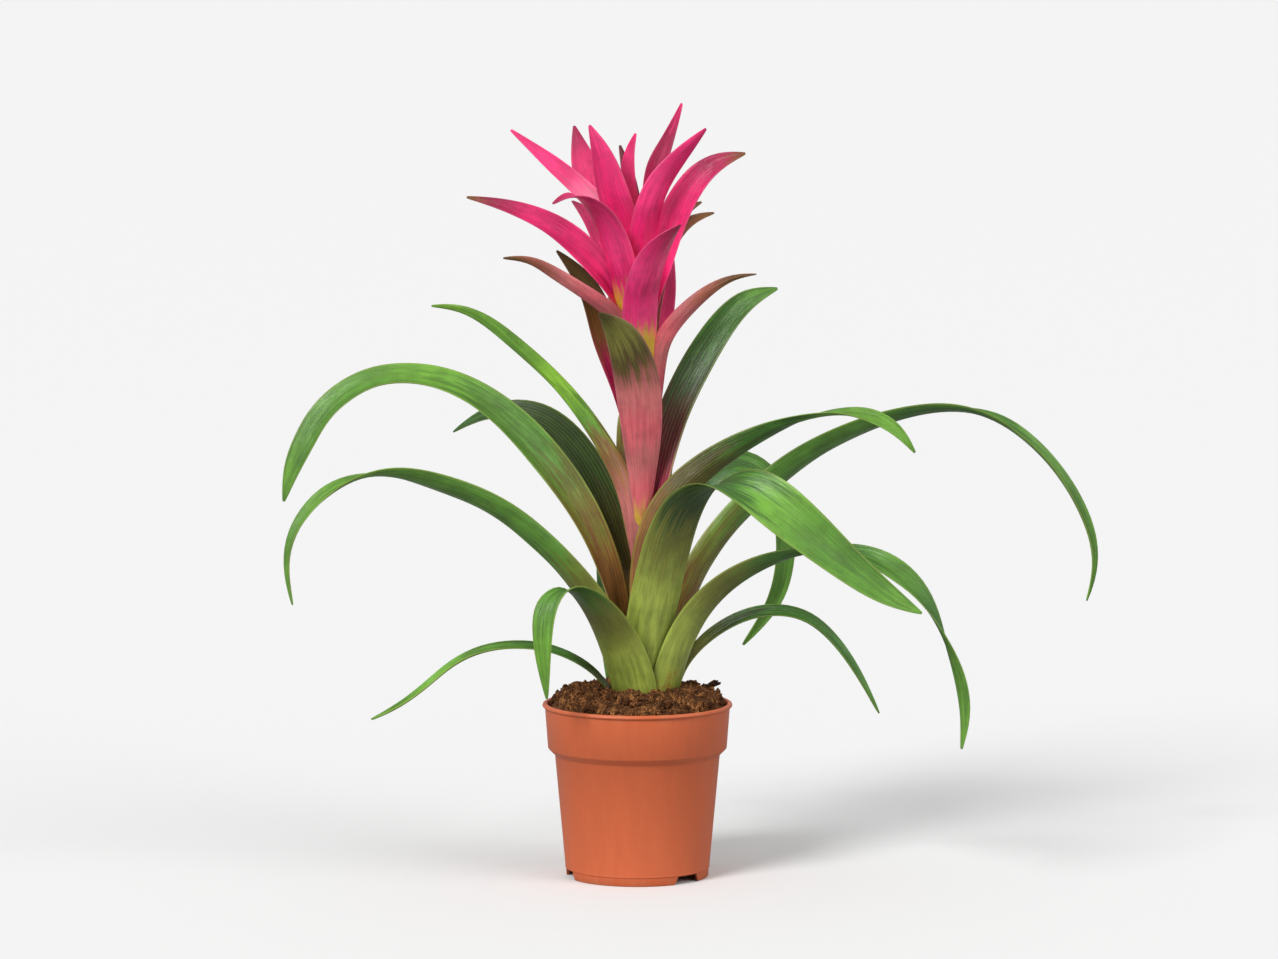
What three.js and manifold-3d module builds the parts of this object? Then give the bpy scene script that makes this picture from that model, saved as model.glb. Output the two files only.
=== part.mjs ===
// A flowering bromeliad in a round plastic nursery pot.
// Millimetres, +Z up. The origin is on the pot's axis at the plane it stands on, and -Y is the front.
import * as THREE from "three";
import { mergeVertices } from "three/addons/utils/BufferGeometryUtils.js";
import Module from "manifold-3d";

// ---- Driving dimensions -------------------------------------------------------------------

// The pot.
const POT_HEIGHT = 110;
const RIM_DIAMETER = 120;
const LIP_HEIGHT = 2.6;
const COLLAR_TOP_DIAMETER = 117;
const COLLAR_BOTTOM_DIAMETER = 113;
const COLLAR_HEIGHT = 26;
const BODY_TOP_DIAMETER = 104.5;
const BODY_STEP_HEIGHT = 4;
const BASE_DIAMETER = 90;
const POT_WALL = 1.8;
const FLOOR_UNDERSIDE = 6;
const FLOOR_THICKNESS = 2;
const FOOT_NOTCHES = 3;
const FOOT_NOTCH_WIDTH = 23;
const FOOT_NOTCH_TOP_WIDTH = 16;
const FOOT_NOTCH_HEIGHT = 4.8;
const FIRST_NOTCH_TURN = 45;
const DRAIN_HOLES = 6;
const DRAIN_HOLE_DIAMETER = 9;
const DRAIN_CIRCLE_DIAMETER = 56;
const CENTRE_FOOT_DIAMETER = 18;

// The growing medium.
const FIT_GAP = 0.4;
const SOIL_EDGE_BELOW_RIM = 1.5;
const SOIL_MOUND = 9;
const SOIL_BUMP = 1.1;
const HEAP_TOP_RADIUS = 26;

// The plant. Its tables below are drawn at these sizes, above its crown and across its tips.
const DRAWN_RISE = 376;
const DRAWN_SPAN = 511;
const PLANT_RISE = 376;
const PLANT_SPAN = 511;
const PLANT_AXIS_X = 4;
const CROWN_DEPTH = 5.5;
const ROOT_DEPTH = 26;
const ROOT_RADIUS = 9;
const STALK_BASE_RADIUS = 6;
const STALK_TOP_RADIUS = 2.6;
const STALK_TOP = 306;
const LEAF_THICKNESS = 1.1;
const LEAF_GAP = 0.4;
const STATION_STEP = 23;
const SECTION_STEPS = 4;

const soilTop = POT_HEIGHT - SOIL_EDGE_BELOW_RIM + SOIL_MOUND;
const crown = soilTop - CROWN_DEPTH;

// ---- Leaf tables --------------------------------------------------------------------------
// Each leaf: name, colour, direction of its base about the plant's axis in degrees (front is
// -90), how far its base stands from that axis, how strongly the blade is guttered (radians
// from midrib to margin), how far the blade rolls about its midrib above the base (degrees),
// and rows of [x, y, height above the crown, half width, further roll] from base to tip.

const FOLIAGE = [
  {
    name: "leaf_right_upper",
    colour: 0x4f6b2a,
    facing: -62,
    foot: 8.5,
    gutter: 0.6,
    roll: -35,
    rows: [
      [8, -6, 1.2, 10],
      [7, -10, 50, 12.5],
      [8, -13, 90, 13],
      [14, -14, 116, 12],
      [27, -14, 136, 10.5],
      [52, -15, 156, 9, 5],
      [80, -17, 171, 8, 25],
      [108, -19, 181, 8, 45],
      [138, -21, 184, 7.5, 55],
      [160, -22, 176, 5.5, 55],
      [174, -22, 158, 0.6, 55],
    ],
  },
  {
    name: "leaf_left_inner",
    colour: 0x2f5a2c,
    facing: 150,
    foot: 8,
    gutter: 0.5,
    roll: -40,
    rows: [
      [-3, 4, 1.2, 9],
      [-3, 10, 50, 11],
      [-9, 15, 90, 11],
      [-24, 20, 132, 11.5],
      [-46, 25, 165, 11.5],
      [-69, 29, 180, 10.5],
      [-93, 32, 180, 8],
      [-118, 35, 166, 0.6],
    ],
  },
  {
    name: "leaf_left_long",
    colour: 0x5c7d33,
    facing: 170,
    foot: 10.5,
    gutter: 0.7,
    roll: -40,
    rows: [
      [-6, -3, 1.2, 12],
      [-11, -6, 37, 14],
      [-22, -10, 86, 15],
      [-41, -13, 129, 14.5],
      [-74, -16, 171, 14],
      [-104, -19, 195, 13, 10],
      [-130, -21, 205, 12.5, 14],
      [-162, -24, 205, 12.5, 10],
      [-191, -27, 189, 11.5, -5],
      [-208, -29, 164, 9, -25],
      [-217, -30, 145, 6, -30],
      [-221, -30, 128, 0.6, -30],
    ],
  },
  {
    name: "leaf_right_drooping",
    colour: 0x2d5b35,
    facing: 38,
    foot: 11.5,
    gutter: 0.5,
    roll: 60,
    rows: [
      [13, 7, 1.2, 8],
      [15, 13, 55, 10],
      [22, 19, 105, 11],
      [38, 24, 136, 10.5],
      [61, 27, 150, 9.5],
      [81, 30, 143, 8.5, 12],
      [91, 32, 122, 8.5, 28],
      [94, 34, 91, 8, 35],
      [88, 35, 59, 6.5, 35],
      [67, 36, 29, 0.6, 35],
    ],
  },
  {
    name: "leaf_rear_right",
    colour: 0x3d6630,
    facing: 78,
    foot: 11,
    gutter: 0.55,
    roll: 0,
    rows: [
      [6, 10, 1.2, 10],
      [10, 18, 50, 12],
      [15, 36, 88, 12],
      [19, 70, 115, 11],
      [21, 110, 118, 10],
      [22, 145, 100, 8],
      [22, 172, 62, 5.5],
      [22, 188, 22, 0.6],
    ],
  },
  {
    name: "leaf_right_longest",
    colour: 0x5d7a30,
    facing: -40,
    foot: 15,
    gutter: 0.7,
    roll: -35,
    rows: [
      [19, -2, 1.2, 11],
      [25, -5, 40, 11.5],
      [31, -6, 67, 11],
      [43, -4, 92, 10.5],
      [66, 1, 120, 10.5, 4],
      [97, 7, 147, 10.5, 12],
      [134, 12, 167, 10.5, 18],
      [190, 18, 182, 10, 22],
      [225, 20, 177, 9.5, 22],
      [256, 21, 154, 8.5, 22],
      [277, 21, 126, 7, 20],
      [291, 21, 88, 4.6, 25],
      [285, 21, 59, 0.6, 30],
    ],
  },
  {
    name: "leaf_left_low",
    colour: 0x5a7a35,
    facing: 235,
    foot: 14,
    gutter: 0.7,
    roll: 30,
    rows: [
      [-6, -11, 1.2, 12],
      [-13, -16, 36, 12.5],
      [-29, -20, 66, 10],
      [-52, -26, 95, 8.5],
      [-87, -35, 125, 8.5],
      [-123, -45, 141, 8.5],
      [-158, -54, 149, 8, -10],
      [-188, -62, 141, 7.5, -25],
      [-208, -67, 122, 6.5, -15],
      [-217, -70, 98, 5],
      [-213, -72, 68, 0.6],
    ],
  },
  {
    name: "leaf_rear_left",
    colour: 0x3a6230,
    facing: 112,
    foot: 14,
    gutter: 0.55,
    roll: 0,
    rows: [
      [1, 9, 1.2, 10],
      [-3, 17, 45, 12],
      [-9, 36, 75, 12],
      [-14, 70, 90, 11],
      [-17, 110, 84, 10],
      [-19, 150, 56, 8],
      [-20, 185, 12, 5],
      [-20, 197, -18, 0.6],
    ],
  },
  {
    name: "leaf_front_broad",
    colour: 0x7d9440,
    facing: -78,
    foot: 17,
    gutter: 0.5,
    roll: 0,
    rows: [
      [7, -17, 1.2, 17],
      [7, -24, 30, 18],
      [13, -38, 74, 17],
      [24, -54, 118, 15.5],
      [38, -66, 140, 14.5, 8],
      [56, -75, 146, 15, 18],
      [78, -84, 138, 16.5, 25],
      [100, -91, 121, 15.5, 25],
      [120, -98, 104, 12.5, 22],
      [140, -104, 88, 9.5, 18],
      [158, -110, 76, 6.5, 12],
      [174, -114, 69, 0.6, 10],
    ],
  },
  {
    name: "leaf_right_low",
    colour: 0x4f7a38,
    facing: -52,
    foot: 19,
    gutter: 0.65,
    roll: -30,
    rows: [
      [18, -15, 1.2, 13],
      [24, -22, 30, 12.5],
      [39, -28, 61, 10.5],
      [64, -36, 84, 9],
      [100, -46, 98, 8.5, 18],
      [132, -55, 101, 9, 45],
      [160, -63, 90, 9, 55],
      [178, -68, 72, 7.5, 30],
      [190, -74, 47, 5.5, -30],
      [199, -78, 25, 5, -75],
      [203, -80, 4, 4, -90],
      [200, -82, -20, 0.6, -90],
    ],
  },
  {
    name: "leaf_right_lowest",
    colour: 0x5f8a45,
    facing: 8,
    foot: 20,
    gutter: 0.8,
    roll: 45,
    rows: [
      [24, 3, 1.2, 6],
      [28, 2, 20, 6],
      [41, 0, 37, 5.5],
      [65, -3, 53, 5],
      [87, -5, 58, 4.8],
      [109, -7, 53, 5],
      [128, -9, 34, 4.6],
      [143, -10, 11, 3],
      [153, -11, -8, 0.4],
    ],
  },
  {
    name: "leaf_left_lowest",
    colour: 0x6b9048,
    facing: 168,
    foot: 18.5,
    gutter: 0.8,
    roll: -50,
    rows: [
      [-14, -5, 1.2, 4.5],
      [-20, -10, 13, 4],
      [-31, -18, 24, 3.6],
      [-51, -28, 36, 3.2],
      [-79, -36, 40, 3],
      [-108, -44, 35, 2.9],
      [-127, -50, 20, 2.6],
      [-145, -55, 6, 2],
      [-166, -60, -4, 0.4],
    ],
  },
  {
    name: "leaf_front_short",
    colour: 0x86984a,
    facing: -112,
    foot: 20,
    gutter: 0.55,
    roll: 0,
    rows: [
      [-3, -20, 1.2, 18],
      [-10, -31, 33, 17],
      [-24, -48, 62, 13.5],
      [-41, -61, 80, 9.5],
      [-53, -67, 79, 8.5],
      [-58, -71, 65, 8],
      [-58, -74, 38, 6.5, 10],
      [-56, -75, 10, 0.6, 15],
    ],
  },
];

const STALK_LEAVES = [
  {
    name: "stalk_leaf_right",
    colour: 0x4b5f24,
    facing: 22,
    foot: 7,
    gutter: 0.55,
    roll: 60,
    rows: [
      [9, -4, 78, 7.5],
      [10, -4, 128, 10.5],
      [20, 2, 174, 10.5],
      [40, 9, 216, 10.5],
      [63, 14, 248, 8.5],
      [78, 16, 258, 5.5],
      [89, 16, 259, 0.6],
    ],
  },
  {
    name: "stalk_leaf_left",
    colour: 0x7eaf43,
    facing: 215,
    foot: 7.5,
    gutter: 0.6,
    roll: 48,
    rows: [
      [1, -6, 62, 7.5],
      [-1, -7, 98, 8],
      [-7, -2, 133, 7],
      [-22, 8, 163, 5.8],
      [-46, 17, 195, 5],
      [-84, 24, 229, 4.7],
      [-107, 27, 245, 3.4],
      [-131, 30, 247, 0.5],
    ],
  },
  {
    name: "stalk_leaf_rear",
    colour: 0x6c8a35,
    facing: 90,
    foot: 9,
    gutter: 0.5,
    roll: 0,
    rows: [
      [4, 9, 84, 8],
      [4, 17, 122, 18],
      [5, 27, 152, 20.5],
      [6, 44, 170, 20],
      [6, 70, 174, 16.5],
      [7, 104, 162, 13],
      [8, 140, 130, 10],
      [8, 166, 88, 6.5],
      [8, 177, 50, 0.6],
    ],
  },
];

const BRACTS = [
  {
    name: "bract_inner_rear",
    colour: 0xa02050,
    facing: 100,
    foot: 4,
    gutter: 0.6,
    roll: 0,
    rows: [
      [4, 4, 266, 3],
      [0, 14, 300, 5],
      [-6, 20, 330, 4.5],
      [-11, 24, 349, 0.5],
    ],
  },
  {
    name: "bract_inner_centre",
    colour: 0xe8407a,
    facing: 60,
    foot: 4,
    gutter: 0.5,
    roll: 0,
    rows: [
      [6, 3, 262, 3],
      [2, 7, 296, 5],
      [-4, 9, 320, 5.5],
      [-6, 10, 340, 5],
      [-1, 11, 357, 0.5],
    ],
  },
  {
    name: "bract_top",
    colour: 0xb52458,
    facing: 20,
    foot: 4.5,
    gutter: 0.6,
    roll: 55,
    rows: [
      [8, 2, 254, 3.5],
      [9, 3, 290, 6.5],
      [10, 4, 316, 7.5],
      [12, 5, 336, 7.5],
      [19, 6, 352, 4.5],
      [28, 7, 376, 0.5],
    ],
  },
  {
    name: "bract_upper_rear_left",
    colour: 0xb02058,
    facing: 100,
    foot: 5,
    gutter: 0.4,
    roll: 0,
    rows: [
      [2, 4, 250, 4],
      [-8, 13, 285, 9],
      [-24, 23, 312, 11],
      [-34, 30, 337, 9.5],
      [-40, 35, 361, 0.6],
    ],
  },
  {
    name: "bract_upper_left",
    colour: 0xd03368,
    facing: -112,
    foot: 5,
    gutter: 0.65,
    roll: 0,
    rows: [
      [2, -4, 240, 4],
      [-1, -9, 268, 10],
      [-7, -12, 294, 12],
      [-16, -14, 318, 12],
      [-22, -13, 343, 8.5],
      [-30, -10, 363, 0.6],
    ],
  },
  {
    name: "bract_upper_right",
    colour: 0xd63a70,
    facing: -68,
    foot: 5.5,
    gutter: 0.6,
    roll: 15,
    rows: [
      [7, -5, 232, 5],
      [5, -11, 266, 10.5],
      [5, -16, 292, 12],
      [12, -19, 322, 11.5],
      [27, -18, 343, 7.5],
      [43, -14, 361, 0.6],
    ],
  },
  {
    name: "bract_far_left",
    colour: 0xea5a88,
    facing: 170,
    foot: 5.5,
    gutter: 0.7,
    roll: -60,
    rows: [
      [-1, 1, 238, 4],
      [-7, 4, 281, 6.5],
      [-24, 8, 310, 8],
      [-51, 12, 335, 6.5],
      [-80, 16, 359, 0.6],
    ],
  },
  {
    name: "bract_upper_far_right",
    colour: 0xd62a6c,
    facing: 12,
    foot: 5.5,
    gutter: 0.55,
    roll: 50,
    rows: [
      [9, -1, 228, 4],
      [14, -4, 270, 10],
      [24, -6, 307, 11],
      [40, -7, 332, 9.5],
      [55, -7, 342, 6],
      [68, -6, 345, 0.6],
    ],
  },
  {
    name: "bract_rear_right",
    colour: 0x8a7a30,
    facing: 48,
    foot: 5.5,
    gutter: 0.5,
    roll: 40,
    rows: [
      [8, 4, 222, 4],
      [10, 12, 262, 5],
      [18, 20, 292, 6],
      [29, 25, 307, 4],
      [41, 29, 313, 0.5],
    ],
  },
  {
    name: "bract_left",
    colour: 0xa0285c,
    facing: 170,
    foot: 6,
    gutter: 0.7,
    roll: -50,
    rows: [
      [-2, -1, 214, 4],
      [-12, -3, 254, 9.5],
      [-38, -6, 288, 10.5],
      [-61, -9, 304, 8],
      [-85, -12, 313, 4.5],
      [-107, -14, 318, 0.6],
    ],
  },
  {
    name: "bract_rear_left",
    colour: 0xc03064,
    facing: 118,
    foot: 6,
    gutter: 0.5,
    roll: 0,
    rows: [
      [1, 5, 208, 4],
      [-6, 20, 250, 10],
      [-20, 38, 286, 11],
      [-32, 54, 304, 7],
      [-42, 68, 312, 0.6],
    ],
  },
  {
    name: "bract_rear_right_low",
    colour: 0x8c6a3c,
    facing: 26,
    foot: 6,
    gutter: 0.5,
    roll: 50,
    rows: [
      [9, 3, 204, 4],
      [11, 13, 248, 5],
      [20, 22, 287, 5.5],
      [34, 27, 302, 4],
      [49, 30, 306, 0.5],
    ],
  },
  {
    name: "bract_front_left",
    colour: 0xc22e66,
    facing: 248,
    foot: 6.5,
    gutter: 0.5,
    roll: -20,
    rows: [
      [1, -6, 204, 5],
      [-5, -12, 246, 12],
      [-15, -21, 288, 14],
      [-24, -28, 309, 12.5],
      [-36, -34, 321, 8.5],
      [-46, -39, 322, 4.4],
      [-53, -42, 315, 0.6],
    ],
  },
  {
    name: "bract_front_right",
    colour: 0xd83a72,
    facing: -68,
    foot: 6.5,
    gutter: 0.6,
    roll: 15,
    rows: [
      [7, -6, 190, 5],
      [4, -15, 226, 13],
      [4, -23, 256, 15],
      [12, -33, 283, 13.5],
      [20, -40, 296, 8],
      [27, -44, 303, 0.6],
    ],
  },
  {
    name: "bract_rear",
    colour: 0xb83a60,
    facing: 80,
    foot: 6.5,
    gutter: 0.5,
    roll: 0,
    rows: [
      [5, 7, 176, 5],
      [8, 22, 216, 13],
      [12, 40, 250, 14],
      [16, 58, 274, 9],
      [20, 74, 286, 0.6],
    ],
  },
  {
    name: "bract_left_slender",
    colour: 0xb8607a,
    facing: 218,
    foot: 7,
    gutter: 0.6,
    roll: 45,
    rows: [
      [-2, -4, 180, 4],
      [-3, -12, 222, 6.5],
      [-10, -17, 241, 6],
      [-20, -21, 250, 5.5],
      [-33, -24, 259, 5],
      [-50, -27, 270, 4.6],
      [-65, -29, 280, 3.4],
      [-84, -31, 281, 0.5],
    ],
  },
  {
    name: "bract_right_slender",
    colour: 0xc06a70,
    facing: -40,
    foot: 7,
    gutter: 0.55,
    roll: -48,
    rows: [
      [11, -2, 168, 4],
      [12, -5, 206, 6.5],
      [14, -8, 225, 6],
      [21, -10, 237, 5.6],
      [31, -11, 248, 5.2],
      [42, -12, 257, 4.5],
      [50, -12, 264, 3.2],
      [62, -13, 269, 1.8],
      [75, -14, 270, 0.4],
    ],
  },
  {
    name: "bract_left_olive",
    colour: 0x6a5a28,
    facing: 172,
    foot: 7.5,
    gutter: 0.5,
    roll: -65,
    rows: [
      [-4, 1, 150, 4],
      [-11, 2, 200, 7.5],
      [-20, 3, 226, 9],
      [-26, 3, 250, 9],
      [-34, 3, 266, 6.5],
      [-43, 2, 276, 3.4],
      [-51, 1, 284, 0.5],
    ],
  },
  {
    name: "bract_front",
    colour: 0xb06468,
    facing: -92,
    foot: 7,
    gutter: 0.6,
    roll: 0,
    rows: [
      [3, -7, 108, 4],
      [3, -12, 146, 10],
      [2, -22, 182, 15],
      [-2, -32, 212, 15],
      [-11, -42, 236, 11],
      [-19, -49, 246, 5.6],
      [-24, -53, 249, 0.6],
    ],
  },
  {
    name: "bract_rear_low",
    colour: 0xa8605c,
    facing: 104,
    foot: 8,
    gutter: 0.5,
    roll: 0,
    rows: [
      [2, 8, 142, 6],
      [-1, 22, 182, 13],
      [-6, 38, 216, 13],
      [-12, 54, 240, 8],
      [-18, 68, 252, 0.6],
    ],
  },
];

// Loose pieces on the soil: name, x, y, length, width, height, turn about Z and lift of one end.
const CHIPS = [
  { name: "bark_chip_right", x: 44, y: 22, size: [17, 8, 5], turn: 20, lift: 24 },
  { name: "bark_chip_rear", x: 33, y: 38, size: [14, 7, 4], turn: -35, lift: 18 },
  { name: "bark_chip_left", x: -40, y: 24, size: [12, 6, 4], turn: 50, lift: 14 },
  { name: "bark_chip_dark", x: 20, y: -44, size: [10, 5, 3], turn: 8, lift: 8 },
];

// ---- Solids -------------------------------------------------------------------------------

const wasm = await Module();
wasm.setup();

function solidFrom(geometry) {
  const bare = geometry.clone();
  bare.deleteAttribute("normal");
  bare.deleteAttribute("uv");
  const merged = mergeVertices(bare, 1e-3);
  return new wasm.Manifold(
    new wasm.Mesh({
      numProp: 3,
      vertProperties: merged.attributes.position.array,
      triVerts: new Uint32Array(merged.index.array),
    }),
  );
}

function geometryFrom(solid) {
  const mesh = solid.getMesh();
  const geometry = new THREE.BufferGeometry();
  const positions = new Float32Array(mesh.numVert * 3);
  for (let i = 0; i < mesh.numVert; i++) {
    const start = i * mesh.numProp;
    positions.set(mesh.vertProperties.subarray(start, start + 3), i * 3);
  }
  geometry.setAttribute("position", new THREE.BufferAttribute(positions, 3));
  geometry.setIndex(new THREE.BufferAttribute(mesh.triVerts, 1));
  return geometry;
}

function largestBody(solid) {
  const bodies = solid.decompose();
  bodies.sort((a, b) => b.volume() - a.volume());
  return bodies[0];
}

// The largest body left once points that all but meet are joined, so that no piece hangs on by
// a neck too thin to count.
function soundBody(solid) {
  return largestBody(solidFrom(geometryFrom(largestBody(solid))));
}

// A solid turned about Z from [radius, height] points that close on themselves.
function turned(points, segments) {
  const profile = points.map(([radius, height]) => new THREE.Vector2(radius, height));
  const lathe = new THREE.LatheGeometry(profile, segments);
  lathe.rotateX(Math.PI / 2);
  return solidFrom(lathe);
}

// ---- Pot ----------------------------------------------------------------------------------

// The pot's outer radius at a height above the resting plane.
function bodyRadius(height) {
  const collarBottom = POT_HEIGHT - LIP_HEIGHT - COLLAR_HEIGHT;
  const share = height / (collarBottom - BODY_STEP_HEIGHT);
  return (BASE_DIAMETER + (BODY_TOP_DIAMETER - BASE_DIAMETER) * share) / 2;
}

function makePot() {
  const rim = RIM_DIAMETER / 2;
  const collarTop = POT_HEIGHT - LIP_HEIGHT;
  const collarBottom = collarTop - COLLAR_HEIGHT;
  const stepBottom = collarBottom - BODY_STEP_HEIGHT;
  const floorTop = FLOOR_UNDERSIDE + FLOOR_THICKNESS;
  const mouth = COLLAR_TOP_DIAMETER / 2 - POT_WALL;
  const outline = [
    [bodyRadius(0), 0],
    [bodyRadius(stepBottom), stepBottom],
    [COLLAR_BOTTOM_DIAMETER / 2, collarBottom],
    [COLLAR_TOP_DIAMETER / 2, collarTop],
    [rim - 0.4, collarTop + 0.1],
    [rim, collarTop + LIP_HEIGHT * 0.4],
    [rim - 0.5, POT_HEIGHT - 0.4],
    [rim - 1.4, POT_HEIGHT],
    [mouth + 0.5, POT_HEIGHT - 0.2],
    [mouth, POT_HEIGHT - 1.2],
    [COLLAR_BOTTOM_DIAMETER / 2 - POT_WALL, collarBottom],
    [bodyRadius(stepBottom) - POT_WALL, stepBottom],
    [bodyRadius(floorTop) - POT_WALL, floorTop],
    [0, floorTop],
    [0, FLOOR_UNDERSIDE],
    [bodyRadius(FLOOR_UNDERSIDE) - POT_WALL, FLOOR_UNDERSIDE],
    [bodyRadius(0) - POT_WALL, 0],
    [bodyRadius(0), 0],
  ];
  let pot = turned(outline, 64);
  pot = pot.add(makeCentreFoot());
  for (let i = 0; i < FOOT_NOTCHES; i++) {
    const turn = THREE.MathUtils.degToRad(FIRST_NOTCH_TURN + (i * 360) / FOOT_NOTCHES);
    pot = pot.subtract(makeFootNotch(turn));
  }
  for (let i = 0; i < DRAIN_HOLES; i++) {
    pot = pot.subtract(makeDrainHole(i * ((2 * Math.PI) / DRAIN_HOLES)));
  }
  return pot;
}

// A boss under the floor's centre that reaches the resting plane.
function makeCentreFoot() {
  const foot = new THREE.CylinderGeometry(
    CENTRE_FOOT_DIAMETER / 2,
    CENTRE_FOOT_DIAMETER / 2 - 1,
    FLOOR_UNDERSIDE + FLOOR_THICKNESS / 2,
    32,
  );
  foot.rotateX(Math.PI / 2);
  foot.translate(0, 0, (FLOOR_UNDERSIDE + FLOOR_THICKNESS / 2) / 2);
  return solidFrom(foot);
}

// A slant-sided gap in the skirt below the floor.
function makeFootNotch(angle) {
  const half = FOOT_NOTCH_WIDTH / 2;
  const topHalf = FOOT_NOTCH_TOP_WIDTH / 2;
  const shape = new THREE.Shape();
  shape.moveTo(-half, -1);
  shape.lineTo(half, -1);
  shape.lineTo(half, 0);
  shape.lineTo(topHalf, FOOT_NOTCH_HEIGHT);
  shape.lineTo(-topHalf, FOOT_NOTCH_HEIGHT);
  shape.lineTo(-half, 0);
  shape.closePath();
  const cut = new THREE.ExtrudeGeometry(shape, { depth: 10, bevelEnabled: false });
  cut.rotateX(Math.PI / 2);
  cut.translate(0, -BASE_DIAMETER / 2 + 6, 0);
  cut.rotateZ(angle);
  return solidFrom(cut);
}

function makeDrainHole(angle) {
  const radius = DRAIN_HOLE_DIAMETER / 2;
  const hole = new THREE.CylinderGeometry(radius, radius, FLOOR_THICKNESS + 4, 20);
  hole.rotateX(Math.PI / 2);
  hole.translate(DRAIN_CIRCLE_DIAMETER / 2, 0, FLOOR_UNDERSIDE + FLOOR_THICKNESS / 2);
  hole.rotateZ(angle);
  return solidFrom(hole);
}

// ---- Soil and stem ------------------------------------------------------------------------

// The uneven top of the soil, flat near the plant and at the wall.
function soilHeight(x, y) {
  const radius = Math.hypot(x, y);
  const wall = COLLAR_TOP_DIAMETER / 2 - POT_WALL;
  const slope = (radius - HEAP_TOP_RADIUS) / (wall - HEAP_TOP_RADIUS);
  const outwards = Math.min(Math.max(slope, 0), 1);
  const lumps = Math.sin(x * 0.31 + 1.3) * Math.cos(y * 0.27) + Math.sin((x - y) * 0.19);
  const bumpy = Math.sin(outwards * Math.PI);
  return soilTop - SOIL_MOUND * outwards ** 3 + SOIL_BUMP * 0.5 * lumps * bumpy;
}

function makeSoil() {
  const stepBottom = POT_HEIGHT - LIP_HEIGHT - COLLAR_HEIGHT - BODY_STEP_HEIGHT;
  const bottom = FLOOR_UNDERSIDE + FLOOR_THICKNESS + FIT_GAP;
  const inset = POT_WALL + FIT_GAP;
  const collarAt = POT_HEIGHT - LIP_HEIGHT - COLLAR_HEIGHT;
  const mouth = COLLAR_TOP_DIAMETER / 2 - inset;
  const rings = [
    [bodyRadius(bottom) - inset, bottom],
    [bodyRadius(stepBottom) - inset - 0.2, stepBottom],
    [COLLAR_BOTTOM_DIAMETER / 2 - inset - 0.2, collarAt + 0.2],
    [mouth - 0.6, soilTop - SOIL_MOUND - 1],
  ];
  for (let i = 6; i >= 1; i--) rings.push([((mouth - 1.2) * i) / 6, null]);
  const segments = 40;
  const positions = [0, 0, bottom];
  for (const [radius, height] of rings) {
    for (let k = 0; k < segments; k++) {
      const angle = (k / segments) * 2 * Math.PI;
      const x = radius * Math.cos(angle);
      const y = radius * Math.sin(angle);
      positions.push(x, y, height === null ? soilHeight(x, y) : height);
    }
  }
  positions.push(0, 0, soilHeight(0, 0));
  return solidFrom(ringSolid(positions, rings.length, segments)).subtract(makeStem(FIT_GAP));
}

// A closed surface over rings of equal size between a first and a last single vertex. From the
// vertex turnBack on, quads split along the other diagonal, so that the two faces of a thin
// twisted blade stay parallel.
function ringSolid(positions, ringCount, size, turnBack = size) {
  const indices = [];
  const last = positions.length / 3 - 1;
  for (let k = 0; k < size; k++) {
    const next = (k + 1) % size;
    indices.push(0, 1 + next, 1 + k);
    for (let ring = 0; ring < ringCount - 1; ring++) {
      const low = 1 + ring * size;
      const high = low + size;
      if (k < turnBack) {
        indices.push(low + k, low + next, high + next);
        indices.push(low + k, high + next, high + k);
      } else {
        indices.push(low + k, low + next, high + k);
        indices.push(low + next, high + next, high + k);
      }
    }
    const top = 1 + (ringCount - 1) * size;
    indices.push(top + k, top + next, last);
  }
  const geometry = new THREE.BufferGeometry();
  geometry.setAttribute("position", new THREE.Float32BufferAttribute(positions, 3));
  geometry.setIndex(indices);
  return geometry;
}

// The buried rootstock and the flower stalk, grown as one; grow makes its clearance.
function makeStem(grow = 0) {
  const rise = PLANT_RISE / DRAWN_RISE;
  const stem = turned(
    [
      [0, -ROOT_DEPTH - grow],
      [ROOT_RADIUS - 4 + grow, -ROOT_DEPTH - grow],
      [ROOT_RADIUS + grow, -ROOT_DEPTH + 4],
      [ROOT_RADIUS + grow, -6],
      [STALK_BASE_RADIUS + grow, 0],
      [STALK_BASE_RADIUS + grow, 8],
      [STALK_BASE_RADIUS - 1.4 + grow, STALK_TOP * rise * 0.3],
      [STALK_TOP_RADIUS + 1 + grow, STALK_TOP * rise * 0.7],
      [STALK_TOP_RADIUS + grow, STALK_TOP * rise - 6],
      [STALK_TOP_RADIUS * 0.6 + grow, STALK_TOP * rise - 1 + grow],
      [0, STALK_TOP * rise + grow],
    ],
    24,
  );
  return stem.translate([PLANT_AXIS_X, 0, crown]);
}

// ---- Leaves -------------------------------------------------------------------------------

// A value of the leaf table at a place between rows; a row without one counts as 0.
function between(rows, column, place) {
  const low = Math.min(Math.floor(place), rows.length - 2);
  const share = place - low;
  const from = rows[low][column] ?? 0;
  const to = rows[low + 1][column] ?? 0;
  return from + (to - from) * share;
}

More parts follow.
